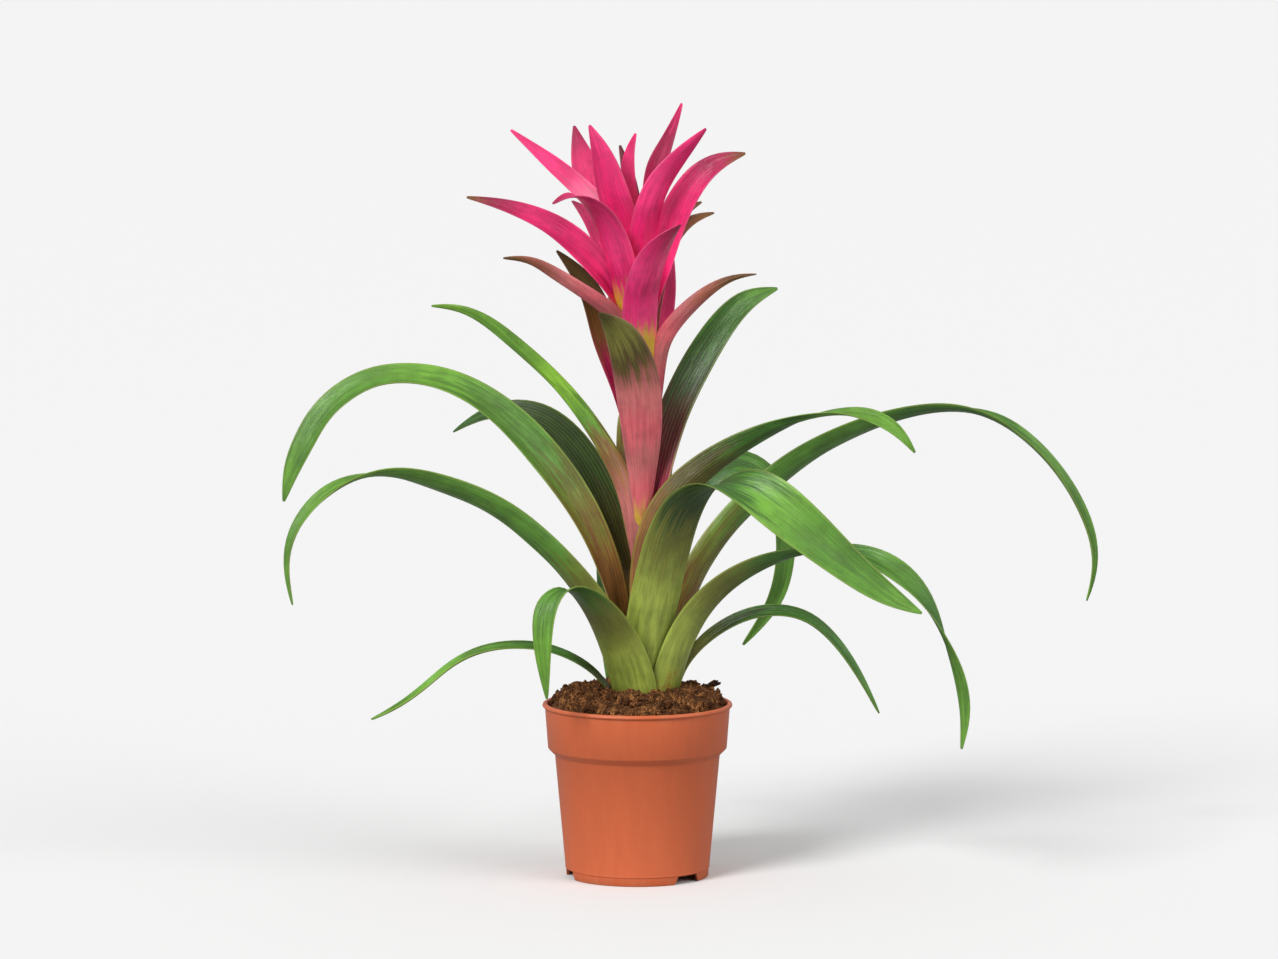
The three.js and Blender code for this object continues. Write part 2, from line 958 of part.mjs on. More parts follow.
// The strap blade as rings of vertices along its midrib; grow makes its clearance.
function makeLeaf(leaf, grow = 0) {
  const spread = PLANT_SPAN / DRAWN_SPAN;
  const rise = PLANT_RISE / DRAWN_RISE;
  const midrib = new THREE.CatmullRomCurve3(
    leaf.rows.map(([x, y, height]) => {
      const outX = PLANT_AXIS_X + (x - PLANT_AXIS_X) * spread;
      return new THREE.Vector3(outX, y * spread, crown + height * rise);
    }),
    false,
    "centripetal",
  );
  const stations = Math.max(9, Math.round(midrib.getLength() / STATION_STEP) + 2);
  const facing = THREE.MathUtils.degToRad(leaf.facing);
  const positions = [];
  for (let station = 0; station < stations; station++) {
    const along = station / stations;
    const place = midrib.getUtoTmapping(along) * (leaf.rows.length - 1);
    const centre = midrib.getPointAt(along);
    const tangent = midrib.getTangentAt(along);
    const side = new THREE.Vector3(-Math.sin(facing), Math.cos(facing), 0);
    side.addScaledVector(tangent, -side.dot(tangent)).normalize();
    const roll = leaf.roll * Math.min(along * 2.5, 1) + between(leaf.rows, 4, place);
    side.applyAxisAngle(tangent, THREE.MathUtils.degToRad(roll));
    const inward = tangent.clone().cross(side);
    if (station === 0) pushPoint(positions, centre.clone().addScaledVector(tangent, -grow));
    const half = between(leaf.rows, 3, place);
    const wrap = Math.min(half / leaf.foot, 1.2);
    const bend = THREE.MathUtils.lerp(wrap, leaf.gutter, Math.min(along * 3, 1));
    const thickness = LEAF_THICKNESS * (1 - 0.5 * along);
    pushSection(positions, centre, side, inward, { half, bend, thickness, grow });
  }
  const tip = midrib.getPoint(1);
  pushPoint(positions, tip.addScaledVector(midrib.getTangent(1), grow));
  return solidFrom(ringSolid(positions, stations, 2 * SECTION_STEPS, SECTION_STEPS));
}

function pushPoint(positions, point) {
  positions.push(point.x, point.y, point.z);
}

// One guttered section: along the upper face, then back along the lower face. The margins are
// sharp, so a grown one moves straight away from the middle of the blade beside it.
function pushSection(positions, centre, side, inward, { half, bend, thickness, grow }) {
  const radius = half / bend;
  const pointAt = (across, fromArc) => {
    const point = centre.clone();
    point.addScaledVector(side, (radius - fromArc) * Math.sin(across * bend));
    return point.addScaledVector(inward, radius - (radius - fromArc) * Math.cos(across * bend));
  };
  for (let i = 0; i < 2 * SECTION_STEPS; i++) {
    const upper = i <= SECTION_STEPS;
    const across = upper ? 1 - (2 * i) / SECTION_STEPS : (2 * i) / SECTION_STEPS - 3;
    if (Math.abs(across) === 1) {
      const margin = pointAt(across, 0);
      const beside = pointAt(across * (1 - 2 / SECTION_STEPS), -thickness / 2);
      const outward = margin.clone().sub(beside).normalize();
      pushPoint(positions, margin.addScaledVector(outward, 2 * grow));
    } else {
      pushPoint(positions, pointAt(across, upper ? grow : -thickness - grow));
    }
  }
}

// Leaves in order from the innermost out: each is trimmed clear of those already placed. A blade
// is kept clear both grown and plain, since at a strong twist the grown one may not cover it.
function makeLeaves(leaves, obstacles) {
  const placed = [];
  const keepClear = [...obstacles];
  for (const leaf of leaves) {
    let solid = makeLeaf(leaf);
    for (const obstacle of keepClear) solid = solid.subtract(obstacle);
    placed.push([leaf, soundBody(solid)]);
    keepClear.push(makeLeaf(leaf, LEAF_GAP), makeLeaf(leaf));
  }
  return placed;
}

// ---- Chips --------------------------------------------------------------------------------

// A bit of bark bedded in the soil, which keepClear cuts away from its underside.
function makeChip({ x, y, size, turn, lift }, keepClear) {
  const chip = new THREE.SphereGeometry(0.5, 8, 5);
  chip.scale(size[0], size[1], size[2]);
  chip.rotateY(-THREE.MathUtils.degToRad(lift));
  chip.rotateZ(THREE.MathUtils.degToRad(turn));
  chip.translate(x, y, soilHeight(x, y) + size[2] / 2);
  return soundBody(solidFrom(chip).subtract(keepClear));
}

// ---- Assembly -----------------------------------------------------------------------------

const group = new THREE.Group();

function addPiece(name, solid, colour, roughness) {
  const material = new THREE.MeshStandardMaterial({ color: colour, roughness, metalness: 0 });
  const mesh = new THREE.Mesh(geometryFrom(solid), material);
  mesh.name = name;
  group.add(mesh);
}

const soil = makeSoil();
const raisedSoil = soil.translate([0, 0, FIT_GAP]);
addPiece("pot", makePot(), 0xc4613a, 0.45);
addPiece("soil", soil, 0x5a3f2a, 0.95);
addPiece("stem", makeStem(), 0x8a8a3c, 0.6);
const innerFirst = [...BRACTS, ...STALK_LEAVES, ...FOLIAGE];
for (const [leaf, solid] of makeLeaves(innerFirst, [makeStem(LEAF_GAP), raisedSoil])) {
  addPiece(leaf.name, solid, leaf.colour, 0.5);
}
for (const chip of CHIPS) addPiece(chip.name, makeChip(chip, raisedSoil), 0x4a3020, 0.9);

export default group;
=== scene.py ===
"""A flowering bromeliad in a round plastic nursery pot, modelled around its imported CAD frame.

Everything is in metres in the frame's own axes: +Z up on the pot's axis, -Y the front.
"""

import math
import random

import bmesh
import bpy
from mathutils import Matrix, Vector


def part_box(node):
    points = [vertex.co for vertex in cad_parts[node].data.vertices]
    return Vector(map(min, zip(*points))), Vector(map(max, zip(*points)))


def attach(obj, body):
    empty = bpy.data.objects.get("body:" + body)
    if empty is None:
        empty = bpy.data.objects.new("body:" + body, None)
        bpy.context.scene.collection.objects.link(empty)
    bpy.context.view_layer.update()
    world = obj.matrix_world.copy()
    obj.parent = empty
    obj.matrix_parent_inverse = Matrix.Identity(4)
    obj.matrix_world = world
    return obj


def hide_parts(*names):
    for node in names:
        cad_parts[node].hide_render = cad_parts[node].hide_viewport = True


bl_info = {
    "name": "Potted Bromeliad",
    "version": (1, 0, 0),
    "blender": (4, 5, 0),
    "location": "View3D > Sidebar > Bromeliad",
    "description": "Builds a flowering bromeliad with strap leaves and pink bracts in a nursery pot",
    "category": "Add Mesh",
}

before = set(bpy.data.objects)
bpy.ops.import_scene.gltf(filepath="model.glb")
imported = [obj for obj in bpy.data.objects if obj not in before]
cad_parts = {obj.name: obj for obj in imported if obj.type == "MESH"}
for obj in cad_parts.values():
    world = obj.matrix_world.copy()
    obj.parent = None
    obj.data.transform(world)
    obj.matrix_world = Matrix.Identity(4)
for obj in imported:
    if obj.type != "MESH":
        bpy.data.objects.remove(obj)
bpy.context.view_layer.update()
POT_LOW, POT_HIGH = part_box("pot")
STEM_LOW, STEM_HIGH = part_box("stem")

MM = 0.001
ROOT_DEPTH = 26 * MM
CROWN_DEPTH = 5.5 * MM
COLUMNS = 6
ROW_SPACING = 20 * MM
FEWEST_ROWS = 9
MOST_ROWS = 24
CROWN = Vector(((STEM_LOW.x + STEM_HIGH.x) / 2, 0, STEM_LOW.z + ROOT_DEPTH))


# ---- Leaf tables --------------------------------------------------------------------------


def blade(node, shades, *rows, **form):
    """One blade: its CAD node, its shades from base to tip, its rows and its form.

    A row is x, y, height above the crown and half width in mm, with any further roll in degrees.
    Of the form, facing is the direction of the base about the plant's axis in degrees (front is
    -90), foot its distance from that axis in mm, gutter the curl in radians from midrib to margin,
    roll the turn about the midrib above the base in degrees, and worn how scarred the base is.
    """
    return dict(form, node=node, shades=shades, rows=rows)


FOLIAGE = (
    blade(
        "leaf_right_upper", "rose clay rust olive_dark deep fresh fresh",
        (8, -6, 1.2, 10), (7, -10, 50, 12.5), (8, -13, 90, 13), (14, -14, 116, 12),
        (27, -14, 136, 10.5), (52, -15, 156, 9, 5), (80, -17, 171, 8, 25), (108, -19, 181, 8, 45),
        (138, -21, 184, 7.5, 55), (160, -22, 176, 5.5, 55), (174, -22, 158, 0.6, 55),
        facing=-62, foot=8.5, gutter=0.6, roll=-35,
    ),
    blade(
        "leaf_left_inner", "olive_dark rust olive_dark dark dark deep",
        (-3, 4, 1.2, 9), (-3, 10, 50, 11), (-9, 15, 90, 11), (-24, 20, 132, 11.5),
        (-46, 25, 165, 11.5), (-69, 29, 180, 10.5), (-93, 32, 180, 8), (-118, 35, 166, 0.6),
        facing=150, foot=8, gutter=0.5, roll=-40,
    ),
    blade(
        "leaf_left_long", "lime rust rust olive leaf leaf fresh leaf leaf fresh",
        (-6, -3, 1.2, 12), (-11, -6, 37, 14), (-22, -10, 86, 15), (-41, -13, 129, 14.5),
        (-74, -16, 171, 14), (-104, -19, 195, 13, 10), (-130, -21, 205, 12.5, 14),
        (-162, -24, 205, 12.5, 10), (-191, -27, 189, 11.5, -5), (-208, -29, 164, 9, -25),
        (-217, -30, 145, 6, -30), (-221, -30, 128, 0.6, -30),
        facing=170, foot=10.5, gutter=0.7, roll=-40,
    ),
    blade(
        "leaf_right_drooping", "olive deep deep deep leaf leaf fresh",
        (13, 7, 1.2, 8), (15, 13, 55, 10), (22, 19, 105, 11), (38, 24, 136, 10.5),
        (61, 27, 150, 9.5), (81, 30, 143, 8.5, 12), (91, 32, 122, 8.5, 28), (94, 34, 91, 8, 35),
        (88, 35, 59, 6.5, 35), (67, 36, 29, 0.6, 35),
        facing=38, foot=11.5, gutter=0.5, roll=60,
    ),
    blade(
        "leaf_rear_right", "lime olive leaf deep leaf fresh",
        (6, 10, 1.2, 10), (10, 18, 50, 12), (15, 36, 88, 12), (19, 70, 115, 11),
        (21, 110, 118, 10), (22, 145, 100, 8), (22, 172, 62, 5.5), (22, 188, 22, 0.6),
        facing=78, foot=11, gutter=0.55, roll=0,
    ),
    blade(
        "leaf_right_longest", "bronze rust olive leaf leaf deep deep leaf leaf fresh",
        (19, -2, 1.2, 11), (25, -5, 40, 11.5), (31, -6, 67, 11), (43, -4, 92, 10.5),
        (66, 1, 120, 10.5, 4), (97, 7, 147, 10.5, 12), (134, 12, 167, 10.5, 18),
        (190, 18, 182, 10, 22), (225, 20, 177, 9.5, 22), (256, 21, 154, 8.5, 22),
        (277, 21, 126, 7, 20), (291, 21, 88, 4.6, 25), (285, 21, 59, 0.6, 30),
        facing=-40, foot=15, gutter=0.7, roll=-35,
    ),
    blade(
        "leaf_left_low", "lime lime olive leaf leaf leaf leaf fresh leaf fresh",
        (-6, -11, 1.2, 12), (-13, -16, 36, 12.5), (-29, -20, 66, 10), (-52, -26, 95, 8.5),
        (-87, -35, 125, 8.5), (-123, -45, 141, 8.5), (-158, -54, 149, 8, -10),
        (-188, -62, 141, 7.5, -25), (-208, -67, 122, 6.5, -15), (-217, -70, 98, 5),
        (-213, -72, 68, 0.6),
        facing=235, foot=14, gutter=0.7, roll=30,
    ),
    blade(
        "leaf_rear_left", "lime olive leaf deep leaf fresh",
        (1, 9, 1.2, 10), (-3, 17, 45, 12), (-9, 36, 75, 12), (-14, 70, 90, 11), (-17, 110, 84, 10),
        (-19, 150, 56, 8), (-20, 185, 12, 5), (-20, 197, -18, 0.6),
        facing=112, foot=14, gutter=0.55, roll=0,
    ),
    blade(
        "leaf_front_broad", "lime lime lime olive dark deep fresh leaf leaf fresh",
        (7, -17, 1.2, 17), (7, -24, 30, 18), (13, -38, 74, 17), (24, -54, 118, 15.5),
        (38, -66, 140, 14.5, 8), (56, -75, 146, 15, 18), (78, -84, 138, 16.5, 25),
        (100, -91, 121, 15.5, 25), (120, -98, 104, 12.5, 22), (140, -104, 88, 9.5, 18),
        (158, -110, 76, 6.5, 12), (174, -114, 69, 0.6, 10),
        facing=-78, foot=17, gutter=0.5, roll=0, worn=0.62,
    ),
    blade(
        "leaf_right_low", "lime lime olive deep deep leaf deep leaf fresh",
        (18, -15, 1.2, 13), (24, -22, 30, 12.5), (39, -28, 61, 10.5), (64, -36, 84, 9),
        (100, -46, 98, 8.5, 18), (132, -55, 101, 9, 45), (160, -63, 90, 9, 55),
        (178, -68, 72, 7.5, 30), (190, -74, 47, 5.5, -30), (199, -78, 25, 5, -75),
        (203, -80, 4, 4, -90), (200, -82, -20, 0.6, -90),
        facing=-52, foot=19, gutter=0.65, roll=-30, worn=0.5,
    ),
    blade(
        "leaf_right_lowest", "lime olive dark deep deep deep leaf",
        (24, 3, 1.2, 6), (28, 2, 20, 6), (41, 0, 37, 5.5), (65, -3, 53, 5), (87, -5, 58, 4.8),
        (109, -7, 53, 5), (128, -9, 34, 4.6), (143, -10, 11, 3), (153, -11, -8, 0.4),
        facing=8, foot=20, gutter=0.8, roll=45,
    ),
    blade(
        "leaf_left_lowest", "olive dark deep leaf fresh fresh fresh",
        (-14, -5, 1.2, 4.5), (-20, -10, 13, 4), (-31, -18, 24, 3.6), (-51, -28, 36, 3.2),
        (-79, -36, 40, 3), (-108, -44, 35, 2.9), (-127, -50, 20, 2.6), (-145, -55, 6, 2),
        (-166, -60, -4, 0.4),
        facing=168, foot=18.5, gutter=0.8, roll=-50,
    ),
    blade(
        "leaf_front_short", "lime lime olive deep leaf fresh fresh",
        (-3, -20, 1.2, 18), (-10, -31, 33, 17), (-24, -48, 62, 13.5), (-41, -61, 80, 9.5),
        (-53, -67, 79, 8.5), (-58, -71, 65, 8), (-58, -74, 38, 6.5, 10), (-56, -75, 10, 0.6, 15),
        facing=-112, foot=20, gutter=0.55, roll=0,
    ),
)

STALK_LEAVES = (
    blade(
        "stalk_leaf_right", "crimson wine maroon dark deep leaf",
        (9, -4, 78, 7.5), (10, -4, 128, 10.5), (20, 2, 174, 10.5), (40, 9, 216, 10.5),
        (63, 14, 248, 8.5), (78, 16, 258, 5.5), (89, 16, 259, 0.6),
        facing=22, foot=7, gutter=0.55, roll=60,
    ),
    blade(
        "stalk_leaf_left", "rose rose rose rust fresh bright fresh fresh bright",
        (1, -6, 62, 7.5), (-1, -7, 98, 8), (-7, -2, 133, 7), (-22, 8, 163, 5.8), (-46, 17, 195, 5),
        (-84, 24, 229, 4.7), (-107, 27, 245, 3.4), (-131, 30, 247, 0.5),
        facing=215, foot=7.5, gutter=0.6, roll=48,
    ),
    blade(
        "stalk_leaf_rear", "rose rust olive leaf leaf leaf fresh",
        (4, 9, 84, 8), (4, 17, 122, 18), (5, 27, 152, 20.5), (6, 44, 170, 20), (6, 70, 174, 16.5),
        (7, 104, 162, 13), (8, 140, 130, 10), (8, 166, 88, 6.5), (8, 177, 50, 0.6),
        facing=90, foot=9, gutter=0.5, roll=0,
    ),
)

BRACTS = (
    blade(
        "bract_inner_rear", "wine wine maroon",
        (4, 4, 266, 3), (0, 14, 300, 5), (-6, 20, 330, 4.5), (-11, 24, 349, 0.5),
        facing=100, foot=4, gutter=0.6, roll=0,
    ),
    blade(
        "bract_inner_centre", "coral pink pink magenta",
        (6, 3, 262, 3), (2, 7, 296, 5), (-4, 9, 320, 5.5), (-6, 10, 340, 5), (-1, 11, 357, 0.5),
        facing=60, foot=4, gutter=0.5, roll=0,
    ),
    blade(
        "bract_top", "coral magenta magenta wine wine magenta",
        (8, 2, 254, 3.5), (9, 3, 290, 6.5), (10, 4, 316, 7.5), (12, 5, 336, 7.5),
        (19, 6, 352, 4.5), (28, 7, 376, 0.5),
        facing=20, foot=4.5, gutter=0.6, roll=55,
    ),
    blade(
        "bract_upper_rear_left", "gold magenta magenta magenta wine",
        (2, 4, 250, 4), (-8, 13, 285, 9), (-24, 23, 312, 11), (-34, 30, 337, 9.5),
        (-40, 35, 361, 0.6),
        facing=100, foot=5, gutter=0.4, roll=0,
    ),
    blade(
        "bract_upper_left", "gold pink pink magenta magenta pink",
        (2, -4, 240, 4), (-1, -9, 268, 10), (-7, -12, 294, 12), (-16, -14, 318, 12),
        (-22, -13, 343, 8.5), (-30, -10, 363, 0.6),
        facing=-112, foot=5, gutter=0.65, roll=0,
    ),
    blade(
        "bract_upper_right", "gold gold pink magenta pink magenta magenta",
        (7, -5, 232, 5), (5, -11, 266, 10.5), (5, -16, 292, 12), (12, -19, 322, 11.5),
        (27, -18, 343, 7.5), (43, -14, 361, 0.6),
        facing=-68, foot=5.5, gutter=0.6, roll=15,
    ),
    blade(
        "bract_far_left", "coral pink blush pink pink",
        (-1, 1, 238, 4), (-7, 4, 281, 6.5), (-24, 8, 310, 8), (-51, 12, 335, 6.5),
        (-80, 16, 359, 0.6),
        facing=170, foot=5.5, gutter=0.7, roll=-60,
    ),
    blade(
        "bract_upper_far_right", "coral magenta magenta pink magenta magenta wine bronze",
        (9, -1, 228, 4), (14, -4, 270, 10), (24, -6, 307, 11), (40, -7, 332, 9.5),
        (55, -7, 342, 6), (68, -6, 345, 0.6),
        facing=12, foot=5.5, gutter=0.55, roll=50,
    ),
    blade(
        "bract_rear_right", "coral rose olive bronze",
        (8, 4, 222, 4), (10, 12, 262, 5), (18, 20, 292, 6), (29, 25, 307, 4), (41, 29, 313, 0.5),
        facing=48, foot=5.5, gutter=0.5, roll=40,
    ),
    blade(
        "bract_left", "gold crimson magenta pink magenta magenta wine bronze",
        (-2, -1, 214, 4), (-12, -3, 254, 9.5), (-38, -6, 288, 10.5), (-61, -9, 304, 8),
        (-85, -12, 313, 4.5), (-107, -14, 318, 0.6),
        facing=170, foot=6, gutter=0.7, roll=-50,
    ),
    blade(
        "bract_rear_left", "gold coral magenta magenta wine",
        (1, 5, 208, 4), (-6, 20, 250, 10), (-20, 38, 286, 11), (-32, 54, 304, 7),
        (-42, 68, 312, 0.6),
        facing=118, foot=6, gutter=0.5, roll=0,
    ),
    blade(
        "bract_rear_right_low", "coral rose clay bronze",
        (9, 3, 204, 4), (11, 13, 248, 5), (20, 22, 287, 5.5), (34, 27, 302, 4), (49, 30, 306, 0.5),
        facing=26, foot=6, gutter=0.5, roll=50,
    ),
    blade(
        "bract_front_left", "gold gold gold magenta pink magenta magenta wine",
        (1, -6, 204, 5), (-5, -12, 246, 12), (-15, -21, 288, 14), (-24, -28, 309, 12.5),
        (-36, -34, 321, 8.5), (-46, -39, 322, 4.4), (-53, -42, 315, 0.6),
        facing=248, foot=6.5, gutter=0.5, roll=-20,
    ),
    blade(
        "bract_front_right", "gold gold gold pink magenta pink magenta wine",
        (7, -6, 190, 5), (4, -15, 226, 13), (4, -23, 256, 15), (12, -33, 283, 13.5),
        (20, -40, 296, 8), (27, -44, 303, 0.6),
        facing=-68, foot=6.5, gutter=0.6, roll=15,
    ),
    blade(
        "bract_rear", "gold coral pink magenta maroon",
        (5, 7, 176, 5), (8, 22, 216, 13), (12, 40, 250, 14), (16, 58, 274, 9), (20, 74, 286, 0.6),
        facing=80, foot=6.5, gutter=0.5, roll=0,
    ),
    blade(
        "bract_left_slender", "coral coral crimson rose coral rose clay bronze",
        (-2, -4, 180, 4), (-3, -12, 222, 6.5), (-10, -17, 241, 6), (-20, -21, 250, 5.5),
        (-33, -24, 259, 5), (-50, -27, 270, 4.6), (-65, -29, 280, 3.4), (-84, -31, 281, 0.5),
        facing=218, foot=7, gutter=0.6, roll=45,
    ),
    blade(
        "bract_right_slender", "coral coral coral rose coral rose clay bronze bronze",
        (11, -2, 168, 4), (12, -5, 206, 6.5), (14, -8, 225, 6), (21, -10, 237, 5.6),
        (31, -11, 248, 5.2), (42, -12, 257, 4.5), (50, -12, 264, 3.2), (62, -13, 269, 1.8),
        (75, -14, 270, 0.4),
        facing=-40, foot=7, gutter=0.55, roll=-48,
    ),
    blade(
        "bract_left_olive", "wine wine wine bronze olive_dark olive_dark",
        (-4, 1, 150, 4), (-11, 2, 200, 7.5), (-20, 3, 226, 9), (-26, 3, 250, 9),
        (-34, 3, 266, 6.5), (-43, 2, 276, 3.4), (-51, 1, 284, 0.5),
        facing=172, foot=7.5, gutter=0.5, roll=-65,
    ),
    blade(
        "bract_front", "gold coral rose coral rose olive_dark olive olive_dark",
        (3, -7, 108, 4), (3, -12, 146, 10), (2, -22, 182, 15), (-2, -32, 212, 15),
        (-11, -42, 236, 11), (-19, -49, 246, 5.6), (-24, -53, 249, 0.6),
        facing=-92, foot=7, gutter=0.6, roll=0,
    ),
    blade(
        "bract_rear_low", "gold coral rose olive olive",
        (2, 8, 142, 6), (-1, 22, 182, 13), (-6, 38, 216, 13), (-12, 54, 240, 8),
        (-18, 68, 252, 0.6),
        facing=104, foot=8, gutter=0.5, roll=0,
    ),
)

# Bits of bark on the soil: CAD node, turn about Z in degrees and lift of one end.
CHIPS = (
    dict(node="bark_chip_right", turn=20, lift=24),
    dict(node="bark_chip_rear", turn=-35, lift=18),
    dict(node="bark_chip_left", turn=50, lift=14),
    dict(node="bark_chip_dark", turn=8, lift=8),
)


# ---- Properties ---------------------------------------------------------------------------


def length(name, description, default):
    return bpy.props.FloatProperty(
        name=name, description=description, default=default, min=0, unit="LENGTH"
    )


def number(name, description, default):
    return bpy.props.IntProperty(name=name, description=description, default=default, min=0)


def colour(name, description, red, green, blue):
    return bpy.props.FloatVectorProperty(
        name=name, description=description, default=(red, green, blue),
        subtype="COLOR_GAMMA", min=0, max=1,
    )


class BromeliadSizes(bpy.types.PropertyGroup):
    """Sizes and counts of the pot, the soil and the plant"""

    pot_height: length("Pot height", "From the feet to the rim", POT_HIGH.z)
    rim_diameter: length("Rim diameter", "Across the pot's lip", POT_HIGH.x - POT_LOW.x)
    lip_height: length("Lip height", "Height of the rolled lip", 2.6 * MM)
    collar_top: length("Collar top", "Collar diameter under the lip", 117 * MM)
    collar_bottom: length("Collar bottom", "Collar diameter at its lower edge", 113 * MM)
    collar_height: length("Collar height", "Height of the collar under the lip", 26 * MM)
    body_top: length("Body top", "Body diameter below the collar", 104.5 * MM)
    base_diameter: length("Base diameter", "Body diameter at the feet", 90 * MM)
    pot_wall: length("Pot wall", "Thickness of the moulded wall", 1.8 * MM)
    soil_mound: length("Soil mound", "Height of the soil's heap above its edge", 9 * MM)
    heap_top: length("Heap top", "Radius of the flat top of the soil's heap", 26 * MM)
    floor_underside: length("Floor underside", "Height of the floor above the feet", 6 * MM)
    blade_thickness: length("Leaf thickness", "Thickness of a strap leaf", 1.0 * MM)
    bract_thickness: length("Bract thickness", "Thickness of a bract", 0.9 * MM)
    crumb_count: number("Crumbs", "Crumbs of peat on the soil", 1500)
    fibre_count: number("Fibres", "Coir fibres on the soil", 90)


class BromeliadColours(bpy.types.PropertyGroup):
    """Colours of the leaves, the bracts, the pot and the soil"""

    bright: colour("Bright green", "Sunlit young leaf", 0.52, 0.73, 0.21)
    fresh: colour("Fresh green", "Young leaf", 0.40, 0.61, 0.20)
    leaf: colour("Leaf green", "Grown leaf", 0.33, 0.53, 0.18)
    deep: colour("Deep green", "Old leaf", 0.23, 0.43, 0.14)
    dark: colour("Dark green", "Shaded leaf", 0.17, 0.27, 0.10)
    lime: colour("Lime", "Pale leaf base", 0.64, 0.70, 0.30)
    olive: colour("Olive", "Leaf turning from green", 0.46, 0.47, 0.19)
    olive_dark: colour("Dark olive", "Shaded leaf turning from green", 0.31, 0.29, 0.10)
    bronze: colour("Bronze", "Dried tip of a bract", 0.46, 0.33, 0.16)
    rust: colour("Rust", "Warm inner face of a leaf base", 0.56, 0.37, 0.19)
    clay: colour("Clay", "Dull pink brown", 0.63, 0.36, 0.27)
    rose: colour("Rose", "Dusty pink", 0.77, 0.42, 0.42)
    coral: colour("Coral", "Warm pink of a bract base", 0.84, 0.38, 0.42)
    blush: colour("Blush", "Palest pink", 0.93, 0.52, 0.64)
    pink: colour("Pink", "Bright face of a bract", 0.95, 0.21, 0.49)
    magenta: colour("Magenta", "Full colour of a bract", 0.87, 0.11, 0.42)
    crimson: colour("Crimson", "Warm full colour", 0.84, 0.18, 0.36)
    wine: colour("Wine", "Deep face of a bract", 0.66, 0.07, 0.30)
    maroon: colour("Maroon", "Darkest red", 0.40, 0.12, 0.16)
    gold: colour("Gold", "Yellow throat of a bract", 0.86, 0.72, 0.22)
    scar: colour("Scar", "Corky scars on old leaf bases", 0.66, 0.42, 0.18)
    pot: colour("Pot", "Moulded pot plastic", 0.80, 0.39, 0.23)
    dust: colour("Dust", "Dry dust on the pot", 0.72, 0.56, 0.42)
    peat: colour("Peat", "Dry peat", 0.55, 0.36, 0.20)
    peat_dark: colour("Dark peat", "Moist peat", 0.32, 0.19, 0.09)
    coir: colour("Coir", "Coir fibre", 0.66, 0.44, 0.25)
    bark: colour("Bark", "Weathered bark", 0.24, 0.14, 0.08)


# ---- Shader building ----------------------------------------------------------------------


def linear(value):
    """A display colour as the linear colour that shader sockets hold."""
    channels = []
    for channel in value:
        low = channel <= 0.04045
        channels.append(channel / 12.92 if low else ((channel + 0.055) / 1.055) ** 2.4)
    return (*channels, 1.0)


def shade(name):
    """The linear colour of a named shade."""
    return linear(getattr(bpy.context.scene.bromeliad_colours, name))


def add_node(tree, kind, inputs=None, **settings):
    """A shader node with its settings, and its inputs set to values or linked from sockets."""
    node = tree.nodes.new("ShaderNode" + kind)
    for key, value in settings.items():
        setattr(node, key, value)
    for key, value in (inputs or {}).items():
        if isinstance(value, bpy.types.NodeSocket):
            tree.links.new(value, node.inputs[key])
        else:
            node.inputs[key].default_value = value
    return node


def do_math(tree, operation, *values):
    inputs = dict(enumerate(values))
    return add_node(tree, "Math", inputs, operation=operation).outputs[0]


def multiply(tree, first, second):
    return do_math(tree, "MULTIPLY", first, second)


def spread(tree, value, low, high, to_low=0.0, to_high=1.0):
    """A value mapped smoothly from one range to another."""
    inputs = {"Value": value, 1: low, 2: high, 3: to_low, 4: to_high}
    node = add_node(tree, "MapRange", inputs, interpolation_type="SMOOTHSTEP")
    return node.outputs[0]


def blend_colours(tree, factor, first, second, how="MIX"):
    inputs = {0: factor, 6: first, 7: second}
    return add_node(tree, "Mix", inputs, data_type="RGBA", blend_type=how).outputs[2]


def tone_colour(tree, skin, tone):
    """A colour made lighter or darker by a factor."""
    grey = add_node(tree, "CombineColor", {0: tone, 1: tone, 2: tone}).outputs[0]
    return blend_colours(tree, 1.0, skin, grey, "MULTIPLY")


def new_group(name, inputs, outputs):
    """An empty node group with float or vector inputs and float outputs."""
    group = bpy.data.node_groups.new(name, "ShaderNodeTree")
    for label, default in inputs.items():
        kind = "NodeSocketVector" if isinstance(default, tuple) else "NodeSocketFloat"
        socket = group.interface.new_socket(label, in_out="INPUT", socket_type=kind)
        socket.default_value = default
    for label in outputs:
        group.interface.new_socket(label, in_out="OUTPUT", socket_type="NodeSocketFloat")
    given = group.nodes.new("NodeGroupInput").outputs
    result = group.nodes.new("NodeGroupOutput").inputs
    return group, given, result


def noise(tree, vector, scale, detail=3.0, roughness=0.55):
    inputs = {"Vector": vector, "Scale": scale, "Detail": detail, "Roughness": roughness}
    return add_node(tree, "TexNoise", inputs).outputs[0]


def flatten(tree, place, upright):
    """Coordinates scaled in height, so that a pattern on them is drawn out upwards."""
    inputs = {"Vector": place, "Scale": (1.0, 1.0, upright)}
    return add_node(tree, "Mapping", inputs).outputs[0]


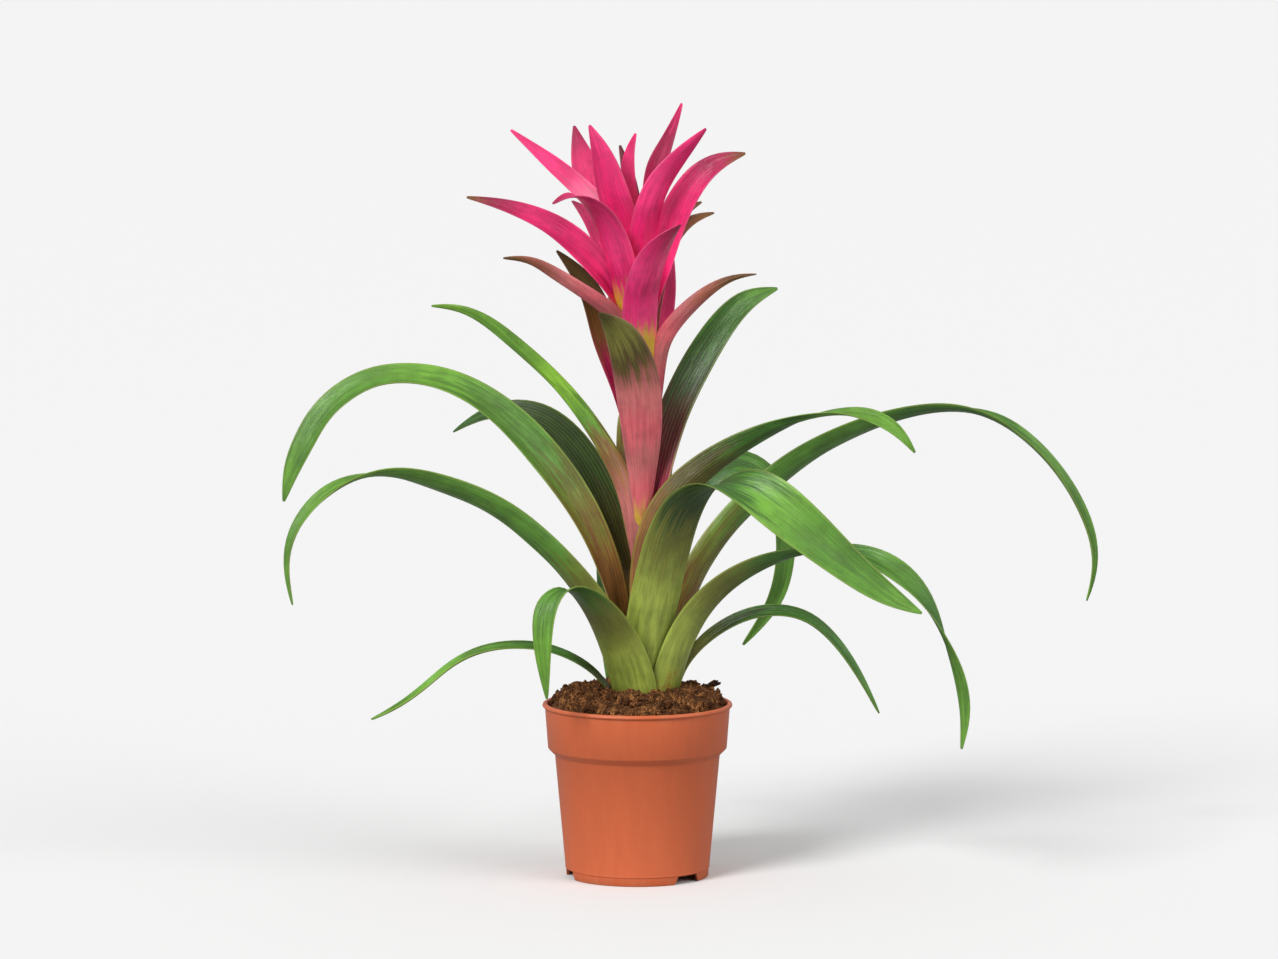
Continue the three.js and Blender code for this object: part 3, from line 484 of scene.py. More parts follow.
def make_vein_group():
    """Lengthwise veins and streaks, and the margin, of a blade by its across and along."""
    group, given, result = new_group(
        "Blade veins",
        {"Across": 0.5, "Along": 0.5, "Veins": 14.0, "Stretch": 3.0, "Seed": 0.0},
        ("Streaks", "Fine", "Veins", "Margin"),
    )
    across, along, veins, stretch, seed = (given[i] for i in range(5))
    wide = multiply(group, across, veins)
    long = multiply(group, along, stretch)
    place = add_node(group, "CombineXYZ", {0: wide, 1: long, 2: seed}).outputs[0]
    streaks = noise(group, place, 0.7, 3.0, 0.6)
    group.links.new(spread(group, streaks, 0.3, 0.7), result["Streaks"])
    wider = multiply(group, wide, 5.0)
    place = add_node(group, "CombineXYZ", {0: wider, 1: long, 2: seed}).outputs[0]
    fine = noise(group, place, 1.0, 2.0)
    group.links.new(spread(group, fine, 0.3, 0.7), result["Fine"])
    waver = do_math(group, "MULTIPLY_ADD", streaks, 0.5, wide)
    wave = do_math(group, "SINE", multiply(group, waver, 2 * math.pi))
    group.links.new(spread(group, wave, 0.55, 1.0), result["Veins"])
    off_centre = do_math(group, "ABSOLUTE", do_math(group, "SUBTRACT", across, 0.5))
    group.links.new(spread(group, off_centre, 0.42, 0.5), result["Margin"])
    return group


def make_mottle_group():
    """Soft blotches and small specks over a surface."""
    group, given, result = new_group(
        "Mottling",
        {"Vector": (0, 0, 0), "Blotch size": 0.02, "Speck size": 0.001},
        ("Blotches", "Specks"),
    )
    vector, blotch, speck = (given[i] for i in range(3))
    broad = noise(group, vector, do_math(group, "DIVIDE", 1.0, blotch), 4.0, 0.6)
    group.links.new(spread(group, broad, 0.32, 0.68), result["Blotches"])
    small = noise(group, vector, do_math(group, "DIVIDE", 1.0, speck), 2.0, 0.6)
    group.links.new(spread(group, small, 0.3, 0.7), result["Specks"])
    return group


def group_node(tree, name, inputs):
    """The outputs of a shared node group placed in a material."""
    return add_node(tree, "Group", inputs, node_tree=bpy.data.node_groups[name]).outputs


def object_place(tree):
    return add_node(tree, "TexCoord").outputs["Object"]


def mottling(tree, place, blotch, speck):
    inputs = {"Vector": place, "Blotch size": blotch, "Speck size": speck}
    return group_node(tree, "Mottling", inputs)


def new_material(name, specular=0.5, **constants):
    """A material with its shader, and the shader's constant sockets set."""
    material = bpy.data.materials.new(name)
    material.use_nodes = True
    tree = material.node_tree
    shader = tree.nodes["Principled BSDF"]
    shader.inputs["Specular IOR Level"].default_value = specular
    for key, value in constants.items():
        shader.inputs[key.replace("_", " ").title()].default_value = value
    return material, tree, shader


def feed_shader(tree, shader, skin, rough, relief, depth, strength):
    """Gives a shader its colour, its roughness and its relief of a depth and strength."""
    inputs = {"Height": relief, "Distance": depth, "Strength": strength}
    bump = add_node(tree, "Bump", inputs).outputs[0]
    for label, socket in (("Base Color", skin), ("Roughness", rough), ("Normal", bump)):
        tree.links.new(socket, shader.inputs[label])


def fill_ramp(ramp, colours):
    """A colour ramp with its colours evenly spaced."""
    elements = ramp.elements
    while len(elements) < len(colours):
        elements.new(0.5)
    for index, value in enumerate(colours):
        elements[index].position = index / (len(colours) - 1)
        elements[index].color = value


def blade_material(leaf, under):
    """The skin of one blade: its shades from base to tip, broken up by its veins."""
    face = "under" if under else "upper"
    green = leaf["kin"] == "leaf"
    material, tree, shader = new_material(f"{leaf['node']} {face} skin", 0.45)
    uv = add_node(tree, "UVMap", uv_map="UVMap").outputs[0]
    split = add_node(tree, "SeparateXYZ", {0: uv}).outputs
    half = max(row[3] for row in leaf["rows"])
    reach = blade_length(leaf)
    vein_inputs = {
        "Across": split[0], "Along": split[1], "Veins": half * 0.9,
        "Stretch": reach / (22 * MM), "Seed": sum(map(ord, leaf["node"])) * 0.37,
    }
    marks = group_node(tree, "Blade veins", vein_inputs)
    mottle = mottling(tree, object_place(tree), 16 * MM, 0.9 * MM)
    shift = spread(tree, marks["Streaks"], 0.0, 1.0, -0.035, 0.035)
    along = do_math(tree, "ADD", split[1], shift)
    ramp = add_node(tree, "ValToRGB", {0: along})
    fill_ramp(ramp.color_ramp, [shade(name) for name in leaf["shades"].split()])
    ramp.color_ramp.interpolation = "EASE"
    skin = ramp.outputs[0]
    faintest = 0.74 if green else 0.86
    streaked = spread(tree, marks["Streaks"], 0.0, 1.0, faintest, 1.1)
    fine = spread(tree, marks["Fine"], 0.0, 1.0, 0.9, 1.08)
    blotched = spread(tree, mottle["Blotches"], 0.0, 1.0, 0.86, 1.1)
    skin = tone_colour(tree, skin, multiply(tree, multiply(tree, streaked, fine), blotched))
    pale = multiply(tree, marks["Veins"], 0.16)
    skin = blend_colours(tree, pale, skin, shade("lime" if green else "coral"))
    edge = multiply(tree, marks["Margin"], 0.3 if green else 0.12)
    skin = blend_colours(tree, edge, skin, shade("lime" if green else "blush"))
    if under:
        # The under face is blended by specks towards a dark dull colour: partly a bloom on the
        # underside, partly painted shade of the side that the lights reach less.
        bloom_and_shade = spread(tree, mottle["Specks"], 0.0, 1.0, 0.08, 0.18)
        dull_shade_colour = (0.16, 0.24, 0.09, 1) if green else (0.36, 0.08, 0.13, 1)
        skin = blend_colours(tree, bloom_and_shade, skin, dull_shade_colour)
    if "worn" in leaf:
        low = spread(tree, split[1], 0.0, 0.16, 1.0, 0.0)
        patch = multiply(tree, mottle["Blotches"], mottle["Specks"])
        patch = multiply(tree, multiply(tree, patch, low), leaf["worn"])
        patch = spread(tree, patch, 0.1, 0.3)
        skin = blend_colours(tree, patch, skin, shade("scar"))
    low, high = (0.42, 0.58) if under else (0.3, 0.44)
    rough = spread(tree, marks["Streaks"], 0.0, 1.0, high, low)
    relief = do_math(tree, "MULTIPLY_ADD", marks["Streaks"], 0.7, marks["Fine"])
    relief = do_math(tree, "MULTIPLY_ADD", marks["Veins"], 0.5, relief)
    feed_shader(tree, shader, skin, rough, relief, 0.12 * MM, 0.8)
    return material


def pot_material():
    """Moulded plastic: a slight flow grain round the wall, dull scuffs and dust in the corners."""
    material, tree, shader = new_material("pot plastic", 0.4)
    place = object_place(tree)
    mottle = mottling(tree, place, 40 * MM, 0.5 * MM)
    drawn = noise(tree, flatten(tree, place, 0.12), 180.0, 3.0, 0.6)
    blotched = spread(tree, mottle["Blotches"], 0.0, 1.0, 0.0, 0.08)
    skin = blend_colours(tree, blotched, shade("pot"), shade("clay"))
    grain = spread(tree, drawn, 0.3, 0.7, 0.97, 1.02)
    speckled = spread(tree, mottle["Specks"], 0.0, 1.0, 0.97, 1.03)
    skin = tone_colour(tree, skin, multiply(tree, grain, speckled))
    height = add_node(tree, "SeparateXYZ", {0: place}).outputs[2]
    sizes = bpy.context.scene.bromeliad_sizes
    top = sizes.pot_height
    near_rim = spread(tree, height, top - 9 * MM, top + 1 * MM, 0.0, 0.2)
    near_feet = spread(tree, height, 0.0, 7 * MM, 0.22, 0.0)
    dusty = do_math(tree, "ADD", near_rim, near_feet)
    dusty = multiply(tree, dusty, spread(tree, drawn, 0.4, 0.75))
    skin = blend_colours(tree, dusty, skin, shade("dust"))
    rough = spread(tree, drawn, 0.25, 0.75, 0.36, 0.52)
    rough = do_math(tree, "MULTIPLY_ADD", dusty, 0.3, rough)
    relief = do_math(tree, "MULTIPLY_ADD", mottle["Specks"], 0.35, drawn)
    feed_shader(tree, shader, skin, rough, relief, 0.12 * MM, 0.6)
    return material


def earth_material(name, dark, light, size):
    """Crumbly matter: two shades mixed by blotches, with a rough broken surface."""
    material, tree, shader = new_material(name, 0.25)
    mottle = mottling(tree, object_place(tree), size, size * 0.16)
    mixed = multiply(tree, mottle["Blotches"], mottle["Specks"])
    mixed = spread(tree, mixed, 0.05, 0.75)
    skin = blend_colours(tree, mixed, shade(dark), shade(light))
    rough = spread(tree, mottle["Specks"], 0.0, 1.0, 0.85, 0.98)
    relief = do_math(tree, "MULTIPLY_ADD", mottle["Blotches"], 0.8, mottle["Specks"])
    feed_shader(tree, shader, skin, rough, relief, 0.5 * MM, 1.0)
    return material


def stem_material():
    """The stalk: green low down and pink above, with fine lengthwise ribs."""
    material, tree, shader = new_material("stalk skin", 0.4)
    place = object_place(tree)
    height = add_node(tree, "SeparateXYZ", {0: place}).outputs[2]
    ramp = add_node(tree, "ValToRGB", {0: spread(tree, height, CROWN.z, STEM_HIGH.z)})
    fill_ramp(ramp.color_ramp, [shade(name) for name in ("lime", "olive", "crimson", "coral")])
    ribs = noise(tree, flatten(tree, place, 0.06), 900.0)
    skin = tone_colour(tree, ramp.outputs[0], spread(tree, ribs, 0.3, 0.7, 0.8, 1.1))
    rough = spread(tree, ribs, 0.0, 1.0, 0.55, 0.4)
    feed_shader(tree, shader, skin, rough, ribs, 0.2 * MM, 0.8)
    return material


# ---- Modelling by hand --------------------------------------------------------------------


def clear_selection():
    bpy.ops.object.select_all(action="DESELECT")


def select_only(*pieces):
    """Selects the pieces and nothing else, and makes the first active."""
    clear_selection()
    for piece in pieces:
        piece.select_set(True)
    bpy.context.view_layer.objects.active = pieces[0]


def join_pieces(*pieces):
    select_only(*pieces)
    bpy.ops.object.join()
    return pieces[0]


def around(radius, turn, height):
    """The point at a distance and a turn about the pot's axis, at a height."""
    return Vector((radius * math.cos(turn), radius * math.sin(turn), height))


def edit_mode():
    bpy.ops.object.mode_set(mode="EDIT")
    bpy.ops.mesh.select_mode(type="VERT")


def object_mode():
    bpy.ops.object.mode_set(mode="OBJECT")


def select_points(piece, wanted):
    """Selects in edit mode the vertices for which wanted(vertex) is true."""
    mesh = bmesh.from_edit_mesh(piece.data)
    mesh.verts.ensure_lookup_table()
    for vertex in mesh.verts:
        vertex.select_set(False)
    for vertex in mesh.verts:
        if wanted(vertex):
            vertex.select_set(True)
    mesh.select_flush_mode()
    bmesh.update_edit_mesh(piece.data)


def start_piece(name):
    """Names the primitive that was just added."""
    piece = bpy.context.object
    piece.name = name
    piece.data.name = name
    return piece


def apply_modifier(piece, kind, **settings):
    bpy.ops.object.modifier_add(type=kind)
    modifier = piece.modifiers[-1]
    for key, value in settings.items():
        setattr(modifier, key, value)
    bpy.ops.object.modifier_apply(modifier=modifier.name)


def settle(piece):
    """Puts the object at the origin, with its place and turn in its mesh."""
    select_only(piece)
    bpy.ops.object.transform_apply(location=True, rotation=True, scale=True)


def dress(piece, slot, *materials):
    piece.data.materials.clear()
    for material in materials:
        piece.data.materials.append(material)


def stand_for(piece, *nodes):
    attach(piece, "root")
    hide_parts(*nodes)


def recalculate_normals():
    edit_mode()
    bpy.ops.mesh.select_all(action="SELECT")
    bpy.ops.mesh.remove_doubles(threshold=0.00001)
    bpy.ops.mesh.normals_make_consistent(inside=False)
    object_mode()


def turn_profile(name, profile, segments, centre=(0, 0)):
    """A round piece: a ring is extruded and scaled along a profile of radius and height."""
    radius, height = profile[0]
    clear_selection()
    bpy.ops.mesh.primitive_circle_add(
        vertices=segments, radius=radius, location=(*centre, height), fill_type="NOTHING"
    )
    piece = start_piece(name)
    settle(piece)
    edit_mode()
    bpy.ops.mesh.select_all(action="SELECT")
    for next_radius, next_height in profile[1:]:
        bpy.ops.mesh.extrude_region_move(
            TRANSFORM_OT_translate={"value": (0, 0, next_height - height)}
        )
        change = next_radius / radius
        bpy.ops.transform.resize(
            value=(change, change, 1), center_override=(*centre, next_height)
        )
        radius, height = next_radius, next_height
    bpy.ops.mesh.merge(type="CENTER")
    select_points(piece, lambda vertex: vertex.index < segments)
    bpy.ops.mesh.merge(type="CENTER")
    object_mode()
    recalculate_normals()
    return piece


# ---- Blades -------------------------------------------------------------------------------


def spline_point(points, place):
    """A point of the even curve through the points; place counts them from 0."""
    low = min(int(place), len(points) - 2)
    share = place - low
    second, third = points[low], points[low + 1]
    first = points[low - 1] if low else second * 2 - third
    fourth = points[low + 2] if low + 2 < len(points) else third * 2 - second
    before = math.sqrt((second - first).length)
    within = math.sqrt((third - second).length)
    after = math.sqrt((fourth - third).length)
    leave = (second - first) / before - (third - first) / (before + within)
    leave = (leave + (third - second) / within) * within
    arrive = (third - second) / within - (fourth - second) / (within + after)
    arrive = (arrive + (fourth - third) / after) * within
    square = (third - second) * 3 - leave * 2 - arrive
    cube = (second - third) * 2 + leave + arrive
    return second + leave * share + square * share**2 + cube * share**3


def blade_points(leaf):
    ground = Vector((0, 0, CROWN.z))
    return [ground + Vector(row[:3]) * MM for row in leaf["rows"]]


def walk_midrib(leaf, steps):
    """Places along the midrib, evenly spaced: each a table place, a point and a direction."""
    points = blade_points(leaf)
    fine = 24
    places = [index / fine for index in range((len(points) - 1) * fine + 1)]
    line = [spline_point(points, place) for place in places]
    run = [0.0]
    for here, there in zip(line, line[1:]):
        run.append(run[-1] + (there - here).length)
    stops = []
    at = 0
    for step in range(steps + 1):
        target = run[-1] * step / steps
        while at < len(run) - 2 and run[at + 1] < target:
            at += 1
        share = (target - run[at]) / (run[at + 1] - run[at])
        point = line[at].lerp(line[at + 1], share)
        stops.append((places[at] + share / fine, point, (line[at + 1] - line[at]).normalized()))
    return stops


def blade_length(leaf):
    stops = walk_midrib(leaf, 40)
    return sum((b[1] - a[1]).length for a, b in zip(stops, stops[1:]))


def table_value(rows, column, place):
    """A value between two rows of a leaf table; a row without one counts as 0."""
    low = min(int(place), len(rows) - 2)
    share = place - low
    values = [row[column] if len(row) > column else 0 for row in rows[low : low + 2]]
    return values[0] + (values[1] - values[0]) * share


def shape_row(piece, row, leaf, along, stop):
    """Narrows, gutters, turns and moves one row of a blade's grid to its place."""
    place, point, forward = stop
    facing = math.radians(leaf["facing"])
    side = Vector((-math.sin(facing), math.cos(facing), 0))
    side = (side - forward * side.dot(forward)).normalized()
    roll = leaf["roll"] * min(along * 2.5, 1) + table_value(leaf["rows"], 4, place)
    side = Matrix.Rotation(math.radians(roll), 3, forward) @ side
    turn = Matrix((-side, forward, forward.cross(side))).transposed()
    half = table_value(leaf["rows"], 3, place)
    wrap = min(half / leaf["foot"], 1.2)
    bend = wrap + (leaf["gutter"] - wrap) * min(along * 3, 1)
    wide = half * MM * math.sin(bend) / bend
    deep = half * MM * (1 - math.cos(bend)) / bend
    select_points(piece, lambda vertex: vertex.index // (COLUMNS + 1) == row)
    start = Vector((0, along * 2 - 1, 0))
    bpy.ops.transform.resize(value=(wide, 1, deep), center_override=start)
    axis, angle = turn.to_quaternion().to_axis_angle()
    bpy.ops.transform.rotate(
        value=-angle,
        orient_axis="Z",
        orient_matrix=axis.to_track_quat("Z", "Y").to_matrix(),
        center_override=start,
    )
    bpy.ops.transform.translate(value=point - start)


def grow_blade(leaf, thickness, seed):
    """A strap blade: a grid curled across, led row by row along its midrib, then thickened."""
    steps = max(FEWEST_ROWS, min(MOST_ROWS, round(blade_length(leaf) / ROW_SPACING)))
    clear_selection()
    bpy.ops.mesh.primitive_grid_add(x_subdivisions=COLUMNS, y_subdivisions=steps, size=2)
    piece = start_piece(leaf["node"] + "_blade")
    edit_mode()
    for column in range(COLUMNS + 1):
        off = abs(column / COLUMNS * 2 - 1)
        select_points(piece, lambda vertex: vertex.index % (COLUMNS + 1) == column)
        bpy.ops.transform.translate(value=(0, 0, off**2))
    stops = walk_midrib(leaf, steps)
    for row, stop in enumerate(stops):
        shape_row(piece, row, leaf, row / steps, stop)
    free = range((COLUMNS + 1) * max(steps // 4, 2), (COLUMNS + 1) * steps)
    select_points(piece, lambda vertex: vertex.index in free)
    bpy.ops.transform.vertex_random(offset=leaf["flutter"] * MM, normal=1, seed=seed)
    object_mode()
    apply_modifier(
        piece, "SOLIDIFY", thickness=thickness, offset=-1, material_offset=1,
        use_even_offset=True,
    )
    apply_modifier(piece, "SUBSURF", levels=2, render_levels=2)
    bpy.ops.object.shade_smooth()
    return piece


def grow_blades(leaves, kin, thickness, flutter):
    for seed, leaf in enumerate(leaves):
        leaf = dict(leaf, kin=kin, flutter=flutter)
        piece = grow_blade(leaf, thickness, seed)
        dress(piece, kin, blade_material(leaf, False), blade_material(leaf, True))
        stand_for(piece, leaf["node"])


# ---- Operators ----------------------------------------------------------------------------

POT_SIDES = 144
FOOT_GAPS = 3
FIRST_GAP_TURN = -45
GAP_WIDTH = 23 * MM
GAP_REACH = 14 * MM
GAP_TAPER = 0.7
DRAIN_HOLES = 6
HOLE_RADIUS = 4.5 * MM
HOLE_RING = 28 * MM
HOLE_DEPTH = 8 * MM
HOLE_CENTRE = 7 * MM

SOIL_SIDES = 96
HEAP_RINGS = 18
CRUMB_SHAPES = 4
CRUMB_SIZES = (0.8, 1.1, 1.5, 2.0, 2.8, 3.8)

STAND_RADIUS = 60
LENS = 152.2
CAMERA_PLACE = (0, -3.38, 0.6)
CAMERA_TARGET = Vector((0.001, 0, 0.2515))
LIGHT_TARGET = Vector((0, 0, 0.22))
LIGHTS = (
    ("key light", (-1.4, -1.9, 2.0), 22, 2.5),
    ("fill light", (1.9, -1.3, 1.7), 40, 1.0),
)


class BROMELIAD_OT_add_finishes(bpy.types.Operator):
    """Make the surface effects that the finishes share"""

    bl_idname = "bromeliad.add_finishes"
    bl_label = "Shared Finishes"

    def execute(self, context):
        make_vein_group()
        make_mottle_group()
        return {"FINISHED"}


class BROMELIAD_OT_add_pot(bpy.types.Operator):
    """Add the collared pot with its lip, foot notches and drain holes"""

    bl_idname = "bromeliad.add_pot"
    bl_label = "Pot"

    def execute(self, context):
        sizes = context.scene.bromeliad_sizes
        pot = turn_profile("nursery_pot", self.profile(sizes), POT_SIDES)
        self.cut_openings(pot, sizes)
        bpy.ops.object.shade_smooth_by_angle(angle=math.radians(35))
        dress(pot, "pot_plastic", pot_material())
        stand_for(pot, "pot")
        return {"FINISHED"}

    def profile(self, sizes):
        """The pot's section as radius and height, from under its centre out, up and back in."""
        top = sizes.pot_height
        rim = sizes.rim_diameter / 2
        wall = sizes.pot_wall
        lip = top - sizes.lip_height
        collar = lip - sizes.collar_height
        step = collar - 4 * MM
        floor = sizes.floor_underside + 2 * MM
        base = sizes.base_diameter / 2
        body = sizes.body_top / 2
        slope = (body - base) / step
        collar_radius = sizes.collar_bottom / 2
        neck = sizes.collar_top / 2
        return (
            (8 * MM, 0),
            (9 * MM, 1 * MM),
            (9 * MM, sizes.floor_underside),
            (base + slope * sizes.floor_underside - wall, sizes.floor_underside),
            (base - wall, 0.3 * MM),
            (base - wall + 0.3 * MM, 0),
            (base - 0.3 * MM, 0),
            (base - 0.1 * MM, 0.3 * MM),
            (base - 0.3 * MM + slope * 5 * MM, 5 * MM),
            (base + 0.2 * MM + slope * 5.6 * MM, 5.6 * MM),
            (base + slope * 6.4 * MM, 6.4 * MM),
            (body - 0.15 * MM, step - 0.4 * MM),
            (body + 0.2 * MM, step + 0.1 * MM),
            (collar_radius - 0.5 * MM, collar - 0.4 * MM),
            (collar_radius, collar + 0.3 * MM),
            (neck - 0.1 * MM, lip - 0.3 * MM),
            (neck + 0.3 * MM, lip),
            (rim - 0.3 * MM, lip + 0.4 * MM),
            (rim, lip + 1.1 * MM),
            (rim - 0.3 * MM, top - 0.5 * MM),
            (rim - 1.1 * MM, top),
            (neck - wall + 0.6 * MM, top - 0.1 * MM),
            (neck - wall, top - 1.1 * MM),
            (collar_radius - wall, collar),
            (body - wall, step),
            (base + slope * floor - wall, floor),
            (4 * MM, floor),
        )

    def cut_openings(self, pot, sizes):
        """Cuts the slant-sided gaps between the feet and the drain holes in the floor."""
        cutters = []
        high = sizes.floor_underside - 1 * MM
        for index in range(FOOT_GAPS):
            turn = math.radians(FIRST_GAP_TURN + 360 / FOOT_GAPS * index)
            cutters.append(self.notch_cutter(turn, sizes.base_diameter / 2, high))
        for index in range(DRAIN_HOLES):
            turn = math.radians(360 / DRAIN_HOLES * index)
            clear_selection()
            bpy.ops.mesh.primitive_cylinder_add(
                vertices=32, radius=HOLE_RADIUS, depth=HOLE_DEPTH,
                location=around(HOLE_RING, turn, HOLE_CENTRE),
            )
            cutters.append(bpy.context.object)
        joined = join_pieces(*cutters)
        select_only(pot)
        apply_modifier(pot, "BOOLEAN", object=joined, operation="DIFFERENCE", solver="EXACT")
        bpy.data.objects.remove(joined)

    def notch_cutter(self, turn, radius, high):
        """A block narrowed towards its top, across the wall at one gap."""
        reach = radius - 2 * MM
        clear_selection()
        bpy.ops.mesh.primitive_cube_add(
            size=1,
            location=around(reach, turn, high / 2 - 1 * MM),
            rotation=(0, 0, turn),
            scale=(GAP_REACH, GAP_WIDTH, high + 2 * MM),
        )
        cutter = start_piece("notch_cutter")
        settle(cutter)
        edit_mode()
        select_points(cutter, lambda vertex: vertex.co.z > 0)
        along_wall = Matrix.Rotation(turn, 3, "Z")
        bpy.ops.transform.resize(value=(1, GAP_TAPER, 1), orient_matrix=along_wall)
        object_mode()
        return cutter


class BROMELIAD_OT_add_soil(bpy.types.Operator):
    """Add the mounded peat with its crumbs and coir fibres"""

    bl_idname = "bromeliad.add_soil"
    bl_label = "Soil"

    def execute(self, context):
        sizes = context.scene.bromeliad_sizes
        low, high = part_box("soil")
        mouth = high.x - 0.3 * MM
        bed = self.heap(sizes, low, mouth)
        chance = random.Random(7)
        crumbs = self.scatter_crumbs(sizes.crumb_count, mouth, chance)
        fibres = self.scatter_fibres(sizes.fibre_count, mouth, chance)
        peat = earth_material("moist peat", "peat_dark", "peat", 5 * MM)
        dry = earth_material("dry crumbs", "peat_dark", "coir", 7 * MM)
        coir = earth_material("coir fibre", "peat", "coir", 4 * MM)
        dress(bed, "soil", peat)
        dress(crumbs, "soil", dry)
        dress(fibres, "soil", coir)
        stand_for(join_pieces(bed, crumbs, fibres), "soil")
        return {"FINISHED"}

    def heap(self, sizes, low, mouth):
        """The body of the soil: rings up the wall, then inwards over an uneven mound."""
        edge = self.surface(mouth, mouth)
        profile = [
            (low.x * -0.5, low.z),
            (sizes.base_diameter / 2 - 3 * MM, low.z),
            (sizes.body_top / 2 - 3 * MM, sizes.pot_height - 36 * MM),
            (mouth - 2.5 * MM, sizes.pot_height - 28 * MM),
            (mouth - 0.5 * MM, edge - 4 * MM),
            (mouth - 0.4 * MM, edge - 1 * MM),
        ]
        for index in range(HEAP_RINGS - 1, 0, -1):
            radius = mouth * index / HEAP_RINGS
            profile.append((radius, self.surface(radius, mouth)))
        bed = turn_profile("peat_bed", profile, SOIL_SIDES)
        edit_mode()
        select_points(bed, lambda vertex: vertex.co.z > edge - 2 * MM)
        bpy.ops.transform.vertex_random(offset=1.1 * MM, uniform=0.4, normal=0.5, seed=3)
        object_mode()
        apply_modifier(bed, "SUBSURF", levels=1, render_levels=1)
        bpy.ops.object.shade_smooth()
        return bed

    def surface(self, radius, mouth):
        """The height of the mound at a distance from the pot's axis."""
        sizes = bpy.context.scene.bromeliad_sizes
        outwards = max(radius - sizes.heap_top, 0) / (mouth - sizes.heap_top)
        return CROWN.z + CROWN_DEPTH - sizes.soil_mound * outwards**3

    def scatter_crumbs(self, count, mouth, chance):
        """A few crumbs are shaped, and copied over the mound at many sizes and turns."""
        models = []
        for seed in range(CRUMB_SHAPES):
            clear_selection()
            bpy.ops.mesh.primitive_ico_sphere_add(subdivisions=2 - seed % 2, radius=1)
            crumb = start_piece(f"crumb_{seed}")
            edit_mode()
            bpy.ops.mesh.select_all(action="SELECT")
            bpy.ops.transform.vertex_random(offset=0.32, uniform=1, normal=0.3, seed=seed)
            bpy.ops.transform.resize(value=(1, 0.72, 0.6), center_override=(0, 0, 0))
            object_mode()
            models.append(crumb)
        copies = []
        for index in range(count):
            radius = mouth * math.sqrt(chance.uniform(0.03, 0.97))
            turn = chance.uniform(0, 2 * math.pi)
            size = chance.choice(CRUMB_SIZES) * MM
            radius = min(radius, mouth - size)
            lift = chance.uniform(-0.2, 0.5) * size
            place = around(radius, turn, self.surface(radius, mouth) + lift)
            copies.append(scatter_copy(models[index % CRUMB_SHAPES], place, size, chance))
        return join_copies("peat_crumbs", models, copies)

    def scatter_fibres(self, count, mouth, chance):
        """One bent strand is shaped, and copied at many lengths and turns."""
        clear_selection()
        bpy.ops.mesh.primitive_cylinder_add(vertices=5, radius=0.035, depth=2)
        strand = start_piece("coir_strand")
        edit_mode()
        select_points(strand, lambda vertex: True)
        bpy.ops.mesh.subdivide(number_cuts=1)
        select_points(strand, lambda vertex: abs(vertex.co.z) < 0.1)
        bpy.ops.transform.translate(value=(0.22, 0.06, 0))
        bpy.ops.mesh.select_all(action="SELECT")
        bpy.ops.transform.rotate(value=math.pi / 2, orient_axis="Y", center_override=(0, 0, 0))
        object_mode()
        copies = []
        for _ in range(count):
            radius = mouth * math.sqrt(chance.uniform(0.05, 0.85))
            turn = chance.uniform(0, 2 * math.pi)
            place = around(radius, turn, self.surface(radius, mouth) + 1.2 * MM)
            copies.append(scatter_copy(strand, place, chance.uniform(2.5, 5) * MM, chance, 0.5))
        return join_copies("coir_fibres", [strand], copies)


def scatter_copy(model, place, size, chance, tilt=math.pi):
    """A copy of a small model with its own mesh, at a place, size and chance turn."""
    copy = model.copy()
    copy.data = model.data.copy()
    turn = Matrix.Rotation(chance.uniform(0, 2 * math.pi), 4, "Z")
    lean = Matrix.Rotation(chance.uniform(-tilt, tilt), 4, "X")
    lean = Matrix.Rotation(chance.uniform(-tilt, tilt) * 0.5, 4, "Y") @ lean
    copy.data.transform(Matrix.Translation(place) @ turn @ lean @ Matrix.Scale(size, 4))
    bpy.context.collection.objects.link(copy)
    return copy


def join_copies(name, models, copies):
    """Joins the copies as one piece and removes the models."""
    for model in models:
        bpy.data.objects.remove(model)
    join_pieces(*copies)
    joined = start_piece(name)
    settle(joined)
    return joined


class BROMELIAD_OT_add_chips(bpy.types.Operator):
    """Add the loose bits of bark that stick up from the soil"""

    bl_idname = "bromeliad.add_chips"
    bl_label = "Bark Chips"

    def execute(self, context):
        bark = earth_material("weathered bark", "bark", "peat", 6 * MM)
        for seed, chip in enumerate(CHIPS):
            low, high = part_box(chip["node"])
            centre = (low + high) / 2
            reach = (high - low).length / 2
            clear_selection()
            bpy.ops.mesh.primitive_cube_add(size=2, location=(0, 0, 0))
            piece = start_piece(chip["node"] + "_flake")
            edit_mode()
            bpy.ops.mesh.select_all(action="SELECT")
            bpy.ops.mesh.subdivide(number_cuts=3)
            bpy.ops.transform.vertex_random(offset=0.3, uniform=1, normal=0.2, seed=seed + 5)
            bpy.ops.transform.resize(
                value=(reach * 0.75, reach * 0.34, reach * 0.16), center_override=(0, 0, 0)
            )
            object_mode()
            piece.rotation_euler = (
                0, -math.radians(chip["lift"]), math.radians(chip["turn"])
            )
            piece.location = centre
            settle(piece)
            bpy.ops.object.shade_smooth_by_angle(angle=math.radians(40))
            dress(piece, "bark", bark)
            stand_for(piece, chip["node"])
        return {"FINISHED"}


